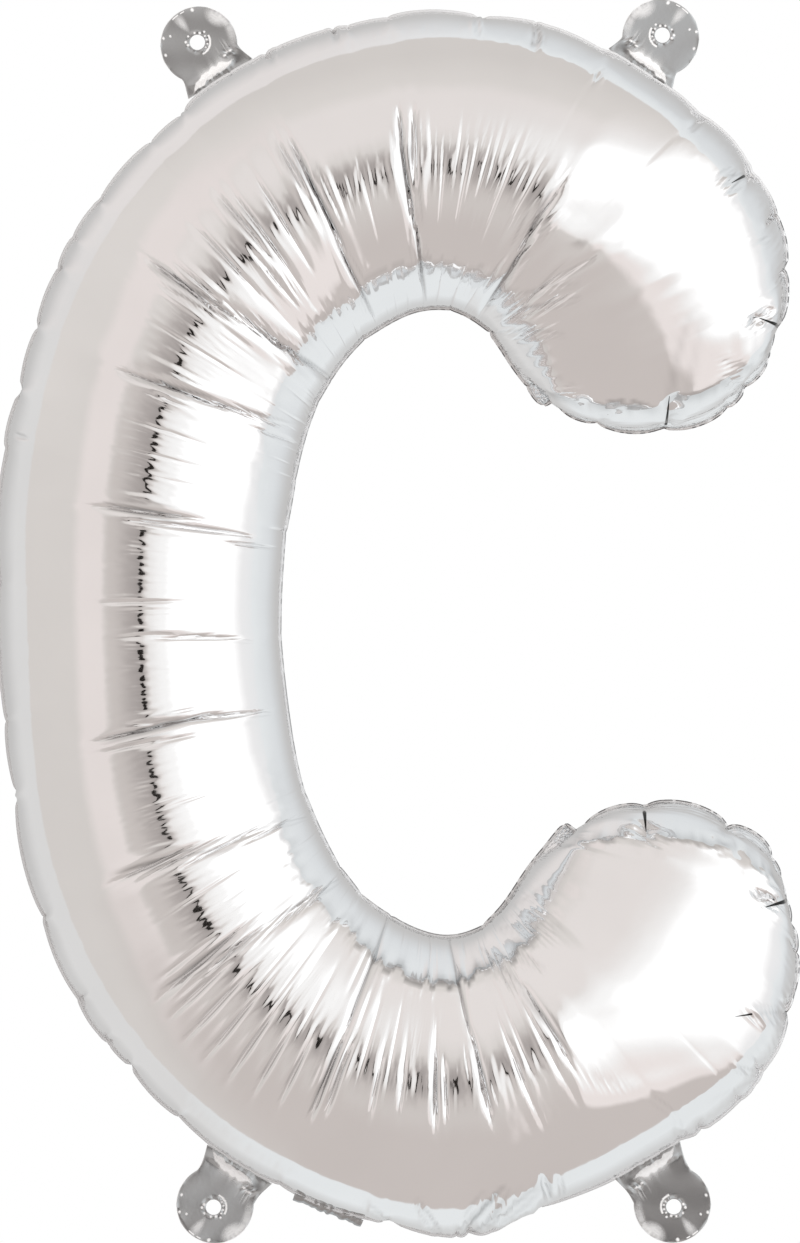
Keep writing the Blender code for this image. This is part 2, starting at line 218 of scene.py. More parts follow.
# A tab's outline and mesh, how far behind the fold line it starts, and how far it leans
TAB_ROOT_HALF_WIDTH = 12.4
TAB_NECK_HALF_WIDTH = 10.9
TAB_NECK_SHARE = 0.33
TAB_DISC_START = math.radians(-31)
TAB_POINTS = 300
TAB_RINGS = 52
HOLE_OFFSET = 1.0
TAB_LEAN = math.radians(4)
ROOT_START = -0.2

# The filling neck: place as a share of the outer edge, how far and how tightly it is folded up, its shift
# along the edge, its mesh and its thickness
TAIL_PLACE = 0.758
TAIL_FOLD = math.radians(105)
TAIL_BEND = 2.2
TAIL_SHIFT = -2.5
TAIL_ROWS = 64
TAIL_COLUMNS = 48
TAIL_SHEET = 0.00012

# The stage: cells of the floor, how dark its clouds are, the lamp's size, power, place and aim, and how
# far the camera sees, in metres and watts
FLOOR_CELLS = 24
FLOOR_CLOUD = 0.975
LAMP_SIZE = 1.6
LAMP_POWER = 18
LAMP_PLACE = (0.9, -1.4, 1.5)
LAMP_AIM = (0, 0, -0.3)
CAMERA_SEES = 100

# Colours of painted shade in folds, of rims, of painted shade on tabs and tail, of white painted highlights,
# of the dark figure, and the share that foil mirrors
FOLD_SHADE_COLOUR = (0.03, 0.029, 0.028, 1)
RIM_COLOUR = (0.16, 0.16, 0.165, 1)
TAB_SHADOW = (0.12, 0.12, 0.12, 1)
TAIL_SHADOW = (0.42, 0.425, 0.43, 1)
WHITE = (1, 1, 1, 1)
FIGURE_COLOUR = (0.02, 0.017, 0.015, 1)
FOIL_MIRRORS = 0.93

made = {}


def length_property(name, description, default):
    return bpy.props.FloatProperty(name=name, description=description, default=default, unit="LENGTH")


def factor_property(name, description, default):
    return bpy.props.FloatProperty(name=name, description=description, default=default, subtype="FACTOR")


def colour_property(name, description, default):
    return bpy.props.FloatVectorProperty(name=name, description=description, default=default,
                                         subtype="COLOR", size=3, min=0, max=1)


class FilmSizes(bpy.types.PropertyGroup):
    rows: bpy.props.IntProperty(name="Rows", description="Threads across the stroke", default=1440)
    columns: bpy.props.IntProperty(name="Columns", description="Threads along one sheet", default=68)
    depth: length_property("Depth", "Thickness of the letter when it is full", 0.080)
    ripple_length: length_property("Ripple length", "Spacing of the fine ripples", 0.004)
    crease_depth: factor_property("Crease depth", "Depth of the creases, as a factor", 1.0)
    tint: colour_property("Foil", "Colour of the metal", (0.93, 0.93, 0.935))


class BorderSizes(bpy.types.PropertyGroup):
    width: length_property("Width", "Width of the welded strip", 0.0011)
    thickness: length_property("Thickness", "Thickness of the two sheets together", 0.00025)
    crimp_height: length_property("Crimp height", "Height of the strip's crimps", 0.0008)
    crimp_length: length_property("Crimp length", "Spacing of the strip's crimps", 0.0024)
    tint: colour_property("Foil", "Colour of the welded strip", (0.86, 0.87, 0.88))


class TabSizes(bpy.types.PropertyGroup):
    radius: length_property("Radius", "Radius of a tab's disc", 0.0126)
    hole_radius: length_property("Hole radius", "Radius of the punched hole", 0.0025)
    thickness: length_property("Thickness", "Thickness of a tab", 0.00022)
    crinkle: length_property("Crinkle", "Height of a tab's crinkles", 0.0005)
    # The tabs' darker grey than the letter's foil is painted shade for the darker surroundings that the flat
    # tabs mirror
    tint: colour_property("Foil", "Colour of the tabs", (0.49, 0.505, 0.515))


class TailSizes(bpy.types.PropertyGroup):
    width: length_property("Width", "Width of the filling neck", 0.024)
    length: length_property("Length", "Length of the filling neck", 0.030)
    taper: factor_property("Taper", "Width at the mouth over the width at the fold", 0.86)
    tint: colour_property("Foil", "Colour of the filling neck", (0.82, 0.825, 0.83))


class StudioSizes(bpy.types.PropertyGroup):
    distance: length_property("Camera distance", "Camera to the letter's plane", 3.0)
    floor_drop: length_property("Floor drop", "Floor below the tab holes", 0.95)
    floor_size: length_property("Floor size", "Half the width of the floor", 3.0)
    floor_colour: colour_property("Floor", "Colour of the floor", (0.86, 0.86, 0.87))
    panel_strength: bpy.props.FloatProperty(name="Panel", description="Brightness of the large soft panel",
                                            default=1.35)


# Small shapes and measures

def bell(value, width, middle=0, power=2):
    """1 where the value is at the middle, sinking towards 0 beyond the width."""
    return np.exp(-((value - middle) / width) ** power)


def ramp(value, start, stop):
    """Share of the way from start to stop, kept from 0 to 1."""
    return np.clip((value - start) / (stop - start), 0, 1)


def distances(points, axis=0):
    """Distance gone along a line, or along each line of a grid, from 0 at its start."""
    steps = np.linalg.norm(np.diff(points, axis=axis), axis=-1)
    return np.concatenate([np.zeros_like(np.take(steps, [0], axis)), np.cumsum(steps, axis=axis)], axis=axis)


def jagged(where, spacing, seed):
    """A broken line of random heights from -1 to 1, one for each spacing."""
    stops = np.arange(math.floor(where.min() / spacing), math.ceil(where.max() / spacing) + 2) * spacing
    return np.interp(where, stops, np.random.default_rng(seed).uniform(-1, 1, len(stops)))


def photo_point(x, y):
    """A place in the photograph as x and z in millimetres."""
    return (x - PIXEL_X) * PIXEL, (PIXEL_Y - y) * PIXEL


# Drawing the flat letter

def smooth_curve(points, where):
    """Natural cubic spline through the points, read at the shares in where, from 0 to 1."""
    points = np.array(points, float)
    count = len(points)
    matrix = np.zeros((count, count))
    right = np.zeros_like(points)
    matrix[0, 0] = 1
    matrix[-1, -1] = 1
    for row in range(1, count - 1):
        matrix[row, row - 1:row + 2] = (1, 4, 1)
        right[row] = 6 * (points[row - 1] - 2 * points[row] + points[row + 1])
    bend = np.linalg.solve(matrix, right)
    place = np.asarray(where, float) * (count - 1)
    low = np.minimum(place.astype(int), count - 2)
    step = (place - low)[:, None]
    back = 1 - step
    straight = points[low] * back + points[low + 1] * step
    return straight + ((back ** 3 - back) * bend[low] + (step ** 3 - step) * bend[low + 1]) / 6


def flat_letter(along, across):
    """Flat points of the letter at every pair of the shares along and across the stroke."""
    ribs = smooth_curve(RIBS, along)
    share = across[None, :, None]
    grid = ribs[:, None, :2] * (1 - share) + ribs[:, None, 2:] * share
    for end, bulge, skew, side in ENDS:
        rib = smooth_curve(RIBS, np.array([end]))[0]
        chord = rib[2:] - rib[:2]
        normal = side * np.array([-chord[1], chord[0]]) / np.linalg.norm(chord)
        skewed = across ** skew
        swell = bulge * (4 * skewed * (1 - skewed)) ** END_ROUNDNESS
        near = np.clip(1 - np.abs(along - end) / END_BLEND, 0, 1) ** 2
        grid += near[:, None, None] * (swell[:, None] * normal)[None]
    return grid


def end_rise(along):
    """Share of the full depth: 0 at the two ends of the stroke, 1 where the stroke is full."""
    share = np.clip(np.minimum(along, 1 - along) / END_PILLOW, 0, 1)
    return np.sqrt(1 - (1 - share) ** END_POWER)


def full_tube(along, columns, depth):
    """The letter as a smooth tube: rows along the stroke, columns over the front and back round the back."""
    shares = np.arange(columns + 1) / columns
    flat = flat_letter(along, (1 - np.cos(math.pi * shares)) / 2)
    height = depth / 2 * np.sin(math.pi * shares)[None, :] * end_rise(along)[:, None]
    front = np.stack([flat[..., 0], -height, flat[..., 1]], axis=2)
    return np.concatenate([front, front[:, columns - 1:0:-1] * (1, -1, 1)], axis=1)


def even_rows(count, depth):
    """Shares of the stroke that are evenly spaced along its crest, and the crest's length."""
    near = END_PILLOW * (1 - np.cos(np.linspace(0, math.pi / 2, 400)))
    along = np.concatenate([near, np.linspace(END_PILLOW, 1 - END_PILLOW, 3000)[1:-1], 1 - near[::-1]])
    crest = flat_letter(along, np.array([0.5]))[:, 0]
    gone = distances(np.stack([crest[:, 0], depth / 2 * end_rise(along), crest[:, 1]], axis=1))
    return np.interp(np.linspace(0, gone[-1], count + 1), gone, along), gone[-1]


def edge_frame(place):
    """Point on the border's outer edge at a share of its length, with its outward and sideways lines."""
    edge = smooth_curve(RIBS, np.linspace(0, 1, EDGE_SAMPLES))[:, :2]
    gone = distances(edge)
    index = int(np.searchsorted(gone / gone[-1], place))
    sideways = edge[index + EDGE_REACH] - edge[index - EDGE_REACH]
    sideways /= np.linalg.norm(sideways)
    outward = np.array([sideways[1], -sideways[0]])
    if np.dot(outward, edge[index] - edge.mean(axis=0)) < 0:
        outward = -outward
    return edge[index] + outward * BORDER_REACH, outward, sideways


# Shaping the foil

def surface_normals(points):
    """Outward normals of the tube's grid."""
    down = np.gradient(points, axis=0)
    over = np.roll(points, -1, axis=1) - np.roll(points, 1, axis=1)
    normal = np.cross(down, over)
    return normal / np.maximum(np.linalg.norm(normal, axis=2, keepdims=True), 1e-9)


def weld_normals(line, inside):
    """In-plane directions that point away from the letter along a line of the weld."""
    tangent = np.gradient(line, axis=0)
    reach = max(2, len(line) // 60)
    window = np.ones(2 * reach + 1) / (2 * reach + 1)
    tangent = np.stack([np.convolve(np.pad(tangent[:, axis], reach, mode="edge"), window, "valid")
                        for axis in range(3)], axis=1)
    tangent[:, 1] = 0
    tangent /= np.maximum(np.linalg.norm(tangent, axis=1), 1e-9)[:, None]
    normal = np.stack([tangent[:, 2], np.zeros(len(line)), -tangent[:, 0]], axis=1)
    return normal * np.sign(((line - inside) * normal).sum(axis=1))[:, None]


def lobes(places, table, length):
    """How far the weld stands out along its length, how full the film is beside it, and the shape of its
    cushion: a lobe after each notch of the table, each a little wider or narrower than the next."""
    reach = np.zeros_like(places)
    full = np.ones_like(places)
    cushion = np.ones_like(places)
    puff = np.ones_like(places)
    spread = OUTER_UNEVENNESS if table is OUTER_LOBES else UNEVENNESS
    steps = 1 + spread * np.random.default_rng(len(table)).uniform(-1, 1, len(table))
    for (start, low, peak), (stop, next_low, next_peak), step in zip(table[:-1], table[1:], steps):
        inside = (places >= start) & (places <= stop)
        share = (places[inside] - start) / (stop - start)
        width = (stop - start) * length
        arch = (4 * share * (1 - share)) ** (0.45 if width < LONG_LOBE else 1)
        reach[inside] = low + (next_low - low) * share + (peak - (low + next_low) / 2) * arch
        cushion[inside] = (0.75 + 0.25 * arch) * step
        for depth, near in ((peak - low, share), (peak - next_low, 1 - share)):
            depth = min(depth / 3, 1)
            full[inside] -= depth * (1 - near) * (1 - arch) * min(14 / width, 1)
            full[inside] -= depth * 0.35 * np.exp(-(near * width / 2.5))
            puff[inside] -= (0.35 + 0.5 * depth) * np.exp(-(near * width / 2.2))
    teeth = 1 + 0.1 * jagged(places * length, 1.4, len(table))
    return reach - STRIP_REACH, np.clip(full, 0, 1), np.stack([cushion, teeth, np.clip(puff, 0, 1)])


def cushion_swell(away, width, height, shape):
    """Height of the cushions beside the weld: each ends in a toothed fold, and the film sinks back behind
    it. The shape holds the shares of the width, the teeth and the shares of the height along the weld."""
    cushion, teeth, puff = shape
    smooth = width * cushion
    edge = smooth * teeth
    inside = puff * (np.clip(away / edge, 0, 1)) ** 2
    behind = np.maximum(away - edge, 0)
    near = bell(behind, 2.5)
    level = np.exp(-np.maximum(away - smooth, 0) / 12)
    sink = (1 - (1 - puff) * near) * (level + (np.exp(-behind / 12) - level) * near)
    return height * np.where(away < edge, inside, sink)


def fold_shade(away, width, shape):
    """Painted shade on the film just before the fold that ends a cushion, from 0 to 1."""
    cushion, teeth, puff = shape
    before = width * cushion * teeth - away
    return np.where(before > 0, bell(before, 2.2), bell(before, 0.5)) * puff ** 2


def calm_by_tabs(line):
    """0 where a tab holds the weld straight, 1 away from the tabs."""
    calm = np.ones(len(line))
    for place, *rest in TABS.values():
        root = edge_frame(place)[0]
        calm *= 1 - bell(np.hypot(line[:, 0] - root[0], line[:, 2] - root[1]), TAB_CALM, power=4)
    return calm


def step_down(smooth, line):
    """How far the film falls away beyond a deep fold, on the fold's right-hand side."""
    x, z = photo_point(*line[:2])
    stop_x, stop_z = photo_point(*line[2:])
    run = np.array([stop_x - x, stop_z - z])
    length = np.hypot(*run)
    run /= length
    right = smooth[..., 0] - x
    up = smooth[..., 2] - z
    along = right * run[0] + up * run[1]
    beyond = np.maximum(right * abs(run[1]) - up * run[0] * np.sign(run[1]), 0)
    outside = np.maximum(np.maximum(-along, along - length), 0)
    return STEP_SLOPE * beyond * np.exp(-beyond / STEP_REACH) * bell(outside, 6)


def scallop_weld(points, smooth, columns):
    """Move the weld in and out as it puckers between its notches. It also works out the distances over and
    down the film, how high the cushions beside the weld stand, and how strong the painted shade by the folds
    behind them is."""
    rows = len(smooth) - 1
    fold = np.arange(2 * columns)
    fold = np.minimum(fold, 2 * columns - fold)
    flat = smooth[..., ::2]
    over = distances(smooth[:, :columns + 1], 1)
    down = distances(smooth)
    wide = distances(flat[:, :columns + 1], 1)
    high = distances(flat)
    inwards = ramp(np.minimum(high, high[-1:] - high), 3.2, 11.2)
    sidewards = ramp(np.minimum(wide, wide[:, -1:] - wide)[:, fold], 1.8, 7.8)
    crest = smooth[:, columns // 2]
    by_row = (slice(None), None)
    by_column = (None, fold)
    swell = np.zeros(points.shape[:2])
    shade = np.zeros(points.shape[:2])
    for table, cushions, line, inside, away, aside, spread, within in (
            (OUTER_LOBES, OUTER_CUSHIONS, smooth[:, 0], crest, over[:, fold], wide[:, fold],
             by_row, inwards),
            (INNER_LOBES, INNER_CUSHIONS, smooth[:, columns], crest, (over[:, -1:] - over)[:, fold],
             (wide[:, -1:] - wide)[:, fold], by_row, inwards),
            (TOP_LOBES, TOP_CUSHIONS, smooth[0, :columns + 1], smooth[rows // 9, :columns + 1],
             down, high, by_column, sidewards),
            (BOTTOM_LOBES, BOTTOM_CUSHIONS, smooth[-1, :columns + 1], smooth[-rows // 9, :columns + 1],
             down[-1:] - down, high[-1:] - high, by_column, sidewards)):
        outward = weld_normals(line, inside)
        gone = distances(line)
        places = gone / gone[-1]
        reach, full, shape = lobes(places, table, gone[-1])
        if table is OUTER_LOBES:
            calm = calm_by_tabs(line)
            reach = reach * calm + TAB_STANDOUT * (1 - calm)
        stops, *values = np.array(cushions, float).T
        height, width, ragged, dark = (np.interp(places, stops, value) for value in values)
        shape[1] = 1 + ragged * (shape[1] - 1)
        shape = shape[(slice(None), *spread)]
        points += (reach[spread] * bell(away, WELD_REACH, power=1.5))[..., None] * outward[spread]
        points[..., 1] *= 1 - PUCKER_DEPTH * (1 - full)[spread] * bell(away, PUCKER_REACH)
        swell += cushion_swell(aside, width[spread], height[spread], shape) * within
        shade = np.maximum(shade, dark[spread] * fold_shade(aside, width[spread], shape) * within)
    for line in STEPS_DOWN:
        swell -= step_down(smooth, line)
    swell[:, :columns] *= -1
    return over[:, fold], down, swell, shade[:, :columns + 1]


def press_crease(points, fold, smooth, normals, line, width, depth, part):
    """Press a long lens-shaped groove with raised lips into one side of the foil, and paint shade along
    its two edges in the fold mask."""
    start = np.array(line[:2])
    run = np.array(line[2:]) - start
    length = np.hypot(*run)
    run /= length
    x = smooth[..., 0] - start[0]
    z = smooth[..., 2] - start[1]
    share = (x * run[0] + z * run[1]) / length
    beside = (z * run[0] - x * run[1]) * math.copysign(1, run[0])
    near = (share > 0) & (share < 1) & (np.abs(beside) < width * 5) & part
    lens = np.sin(math.pi * share[near]) ** 0.7
    half = width * (0.45 + 0.55 * lens)
    beside = beside[near] / half
    profile = 0.35 * bell(np.abs(beside), 1, 1.9) - bell(np.abs(beside), 1, power=1.4)
    points[near] += (depth * lens * profile)[:, None] * normals[near]
    step = (np.roll(smooth, -1, axis=1) - smooth)[near]
    wide = np.hypot(0.3, 0.6 * np.abs(step[:, 2] * run[0] - step[:, 0] * run[1]) / half)
    edges = bell(beside, wide, 0.9) + 0.5 * bell(beside, wide, -0.9)
    # Painted shade along the crease's two edges, kept in the fold mask
    darker = 0.62 * edges * 0.3 / wide * lens ** 0.5 * min(depth / 3, 1) ** 1.5
    fold[near] = np.maximum(fold[near], darker)


def beside_crease(line, offset, start, stop):
    """A shorter line beside a crease, cut by the given shares at its start and its stop."""
    first = np.array(line[:2])
    run = np.array(line[2:]) - first
    aside = np.array([-run[1], run[0]]) / np.hypot(*run) * offset
    return tuple(first + run * start + aside) + tuple(first + run * (1 - stop) + aside)


def press_creases(points, fold, smooth, columns, strength):
    """Press every crease into the front, with slivers beside the deep ones, and its moved copy into the
    back."""
    normals = surface_normals(smooth)
    column = np.arange(2 * columns)[None, :] + np.zeros((len(points), 1), int)
    front = column <= columns
    back = column >= columns
    chance = np.random.default_rng(7)
    for x1, y1, x2, y2, width, depth in CREASES:
        depth *= strength
        line = photo_point(x1, y1) + photo_point(x2, y2)
        press_crease(points, fold, smooth, normals, line, width, depth, front)
        behind = tuple(value + move for value, move in zip(line, chance.normal(0, 1.4, 4)))
        press_crease(points, fold, smooth, normals, behind, width, depth * chance.uniform(0.6, 1), back)
        if depth >= BUNDLE_DEPTH:
            for side in (-1, 1):
                offset = side * chance.uniform(1.9, 2.8) * width
                sliver = beside_crease(line, offset, *chance.uniform(0.05, 0.4, 2))
                press_crease(points, fold, smooth, normals, sliver, 0.6 * width, 0.5 * depth, front)


def pull(first, second, rest, strength):
    """Move pairs of points towards the length of the thread between them."""
    gap = second - first
    length = np.sqrt(np.einsum("...k,...k->...", gap, gap)) + 1e-9
    gap *= ((length - rest) / length * (0.5 * strength))[..., None]
    first += gap
    second -= gap


class Foil:
    """The blown-up film as threads along, across and askew, whose points settle step by step."""

    def __init__(self, points, along, across, corner):
        self.points = points.astype(np.float32)
        self.form = self.points.copy()
        self.before = self.points.copy()
        self.along = along.astype(np.float32)
        self.across = across.astype(np.float32)
        wide = (along + np.roll(along, -1, axis=1)) / 2
        high = (across[1:] + across[:-1]) / 2
        cross = 2 * wide * high * corner
        self.askew, self.other = (
            np.sqrt(np.maximum(wide ** 2 + high ** 2 + way * cross, 1e-6)).astype(np.float32)
            for way in (1, -1))
        self.along_two = (along[1:] + along[:-1]).astype(np.float32)
        self.across_two = (across + np.roll(across, -1, axis=1)).astype(np.float32)

    def settle_threads(self):
        """Pull every thread once, those along and across first, then those askew, then pairs of threads
        for the film's stiffness."""
        points = self.points
        rows, columns = points.shape[:2]
        for part in (0, 1):
            last = (rows - part) // 2 * 2 + part
            pull(points[part:last:2], points[part + 1:last:2], self.along[part:last - 1:2], 1)
        pull(points[:, 0::2], points[:, 1::2], self.across[:, 0::2], 1)
        pull(points[:, 1:-1:2], points[:, 2::2], self.across[:, 1:-1:2], 1)
        pull(points[:, -1], points[:, 0], self.across[:, -1], 1)
        for part in (0, 1):
            last = (rows - part) // 2 * 2 + part
            upper = points[part:last:2]
            lower = points[part + 1:last:2]
            askew = self.askew[part:last - 1:2]
            other = self.other[part:last - 1:2]
            pull(upper[:, :-1], lower[:, 1:], askew[:, :-1], SHEAR_PULL)
            pull(upper[:, -1], lower[:, 0], askew[:, -1], SHEAR_PULL)
            pull(upper[:, 1:], lower[:, :-1], other[:, :-1], SHEAR_PULL)
            pull(upper[:, 0], lower[:, -1], other[:, -1], SHEAR_PULL)
        for part in range(4):
            first = points[part:rows - 2:4]
            second = points[part + 2:rows:4]
            count = min(len(first), len(second))
            pull(first[:count], second[:count], self.along_two[part:rows - 2:4][:count], BEND_PULL)
            first = points[:, part:columns - 2:4]
            second = points[:, part + 2:columns:4]
            count = min(first.shape[1], second.shape[1])
            rest = self.across_two[:, part:columns - 2:4]
            pull(first[:, :count], second[:, :count], rest[:, :count], BEND_PULL)

    def join_ends(self):
        """The two sheets meet along the first and last rows."""
        half = self.points.shape[1] // 2
        for row in (0, -1):
            front = self.points[row, 1:half]
            back = self.points[row, 2 * half - 1:half:-1]
            middle = (front + back) / 2
            self.points[row, 1:half] = middle
            self.points[row, 2 * half - 1:half:-1] = middle

    def fill(self, hold):
        """Blow the film up a little at each step and let its threads pull it into folds. Hold says how
        strongly each point is kept near its drawn place."""
        half = self.points.shape[1] // 2
        for step in range(SETTLE_STEPS):
            speed = (self.points - self.before) * np.float32(SLOWING)
            self.before = self.points.copy()
            self.points += speed + surface_normals(self.points).astype(np.float32) * np.float32(PRESSURE)
            self.points += (self.form - self.points) * hold
            for turn in range(SETTLE_ROUNDS):
                self.settle_threads()
                self.join_ends()
            self.points[:, (0, half), 1] *= 0.9


def spare_length(along, smooth, columns):
    """Relative spare length of the threads along the stroke, left over because the flat sheets narrow
    when they are blown up."""
    fold = np.arange(2 * columns) / columns
    fold = np.where(fold > 1, 2 - fold, fold)
    outer = np.linalg.norm(np.diff(smooth[:, 0], axis=0), axis=1)
    inner = np.linalg.norm(np.diff(smooth[:, columns], axis=0), axis=1)
    turning = (outer - inner) / (2 * HALF_STROKE)
    reach = len(along) // 40
    window = np.hanning(2 * reach + 1)
    turning = np.convolve(np.pad(turning, reach, mode="edge"), window / window.sum(), "valid")
    moved = FLAT_WIDTH * (1 - fold) - HALF_STROKE * (1 + np.cos(math.pi * fold))
    threads = np.linalg.norm(np.diff(smooth, axis=0), axis=2)
    spare = np.maximum(turning, 0)[:, None] * np.maximum(moved, 0)[None] / np.maximum(threads, 1e-6)
    spare = np.clip(spare, 0, 0.22) * 0.45
    spare *= 1 - 0.95 * bell(fold, 0.105, 0.715, 4)[None, :]
    crest = 0.016 * bell(fold, 0.14, 0.51)[None, :]
    middle = (along[1:] + along[:-1]) / 2
    inwards = ramp(np.minimum(middle, 1 - middle), 0.125, 0.155)[:, None]
    ends = 0.3 - 0.25 * bell(fold, 0.2, 0.55, 4)[None, :]
    return spare * end_rise(middle)[:, None] * (ends + (1 - ends) * inwards) + crest * inwards


def ripples(shape, spacing, length, coherence, seed):
    """Random waves that run across the stroke, with crests spaced by the given length."""
    noise = np.random.default_rng(seed).standard_normal(shape)
    down = np.abs(np.fft.fftfreq(shape[0], spacing[0]))[:, None]
    over = np.fft.fftfreq(shape[1], spacing[1])[None, :]
    centre = 1 / length
    keep = np.exp(-((down - centre) / (0.35 * centre)) ** 2 / 2) * np.exp(-2 * (over * coherence) ** 2)
    waves = np.real(np.fft.ifft2(np.fft.fft2(noise) * keep))
    return waves / waves.std()


def weave_foil(points, smooth, spare):
    """The film's threads, as long as the smooth tube's with their spare length, or as the drawn ones."""
    plain_down = smooth[1:] - smooth[:-1]
    plain_over = np.roll(smooth, -1, axis=1) - smooth
    middle_down = (plain_down + np.roll(plain_down, -1, axis=1)) / 2
    middle_over = (plain_over[1:] + plain_over[:-1]) / 2
    size = np.linalg.norm(middle_down, axis=2) * np.linalg.norm(middle_over, axis=2)
    corner = (middle_down * middle_over).sum(axis=2) / np.maximum(size, 1e-9)
    threads = np.maximum(np.linalg.norm(plain_down, axis=2) * (1 + spare),
                         np.linalg.norm(np.diff(points, axis=0), axis=2))
    cross = np.maximum(np.linalg.norm(plain_over, axis=2),
                       np.linalg.norm(np.roll(points, -1, axis=1) - points, axis=2))
    return Foil(points, threads, np.maximum(cross, 1e-3), corner)


def edge_distance(over, down, columns):
    """Distance of each point from the nearest weld."""
    beside = np.minimum(over, over[:, columns:columns + 1] - over)
    return np.minimum(beside, np.minimum(down, down[-1:] - down))


def blow_up_film(sizes):
    """The whole blown-up film in millimetres, with the distances and the fold mask of painted shade that its
    finish needs.
    """
    rows = sizes.rows
    columns = sizes.columns
    along, crest = even_rows(rows, sizes.depth / MM)
    smooth = full_tube(along, columns, sizes.depth / MM)
    points = smooth.copy()
    over, down, swell, shade = scallop_weld(points, smooth, columns)
    # The fold mask holds painted shade: first before the cushions' folds, then along the creases
    fold = np.zeros(points.shape[:2])
    fold[:, :columns + 1] = shade
    press_creases(points, fold, smooth, columns, sizes.crease_depth)
    spare = spare_length(along, smooth, columns)
    foil = weave_foil(points, smooth, spare)
    spacing = (crest / rows, SHEET_WIDTH / columns)
    length = sizes.ripple_length / MM
    shape = (rows + 1, 2 * columns)
    waves = 0.5 * ripples(shape, spacing, length, 16, 1) + 0.9 * ripples(shape, spacing, length * 2.3, 24, 2)
    height = length * np.sqrt(np.vstack([spare, spare[-1:]])) / math.pi
    foil.points += (surface_normals(foil.points) * (waves * height)[..., None]).astype(np.float32)
    foil.before = foil.points.copy()
    edge = edge_distance(over, down, columns)
    foil.fill((FORM_HOLD + WELD_HOLD * bell(edge, 5)).astype(np.float32)[..., None])
    points = foil.points.astype(float)
    points[..., 1] += swell
    column = np.arange(2 * columns)
    shares = np.minimum(column, 2 * columns - column) / columns
    inwards = ramp(np.minimum(along, 1 - along), 0.14, 0.16)[:, None]
    fine = 0.03 * ripples(shape, spacing, 3.0, 3.2, 3) * bell(shares, 0.065, 0.505)[None, :] * inwards
    fine += (0.055 - 0.03 * inwards) * ripples(shape, spacing, 2.4, 5, 4) * bell(edge, 4, 7)
    points += surface_normals(points) * fine[..., None]
    return points, over, down, fold


def weld_line(points, columns):
    """The weld's points, once round the letter."""
    return np.concatenate([points[:-1, 0], points[-1, :columns], points[:0:-1, columns],
                           points[0, columns:0:-1]])


def crimped(line):
    """How strongly the strip is crimped along the weld: fully round the two ends of the letter, and less
    along its inner edge."""
    strength = np.zeros(len(line))
    for rib in (RIBS[0], RIBS[-1]):
        for x, z in (rib[:2], rib[2:], ((rib[0] + rib[2]) / 2, (rib[1] + rib[3]) / 2)):
            away = np.hypot(line[:, 0] - x, line[:, 2] - z)
            strength = np.maximum(strength, ramp(away, CRIMP_REACH, CRIMP_REACH - 12))
    inner = smooth_curve(RIBS, np.linspace(0, 1, 200))[:, 2:]
    away = np.hypot(line[:, :1] - inner[:, 0], line[:, 2:] - inner[:, 1]).min(axis=1)
    return 0.12 + 0.88 * np.maximum(strength, 0.4 * (away < 6))


# Making meshes

def show(name, mesh):
    """A new object of the scene with the given mesh."""
    piece = bpy.data.objects.new(name, mesh)
    bpy.context.scene.collection.objects.link(piece)
    return piece


def new_piece(name, points, faces, material):
    """A smooth mesh object of the given points and faces, with one material."""
    mesh = bpy.data.meshes.new(name)
    mesh.from_pydata(points.tolist(), [], faces.tolist())
    mesh.materials.append(material)
    mesh.update()
    mesh.shade_smooth()
    return show(name, mesh)


def grid_faces(rows, columns, turned=False, closed=False):
    """Quads of a grid of points; turned swaps which way they face."""
    index = np.arange(rows * columns).reshape(rows, columns)
    if closed:
        index = np.concatenate([index, index[:, :1]], axis=1)
    faces = np.stack([index[:-1, :-1], index[:-1, 1:], index[1:, 1:], index[1:, :-1]], axis=-1).reshape(-1, 4)
    return faces[:, ::-1] if turned else faces


def set_uv(piece, values):
    """Give the piece a UV map from one pair of values for each point."""
    layer = piece.data.uv_layers.new(name="UVMap")
    corners = np.empty(len(piece.data.loops), dtype=np.int32)
    piece.data.loops.foreach_get("vertex_index", corners)
    layer.data.foreach_set("uv", values[corners].astype(np.float32).ravel())


def set_mask(piece, name, values):
    """Store one number for each point, which the materials read."""
    mask = piece.data.attributes.new(name, "FLOAT", "POINT")
    mask.data.foreach_set("value", values.astype(np.float32).ravel())


def thicken(piece, thickness):
    """Give a bare sheet its thickness, half on each side."""
    wall = piece.modifiers.new("Thickness", "SOLIDIFY")
    wall.thickness = thickness
    wall.offset = 0


# Building node trees

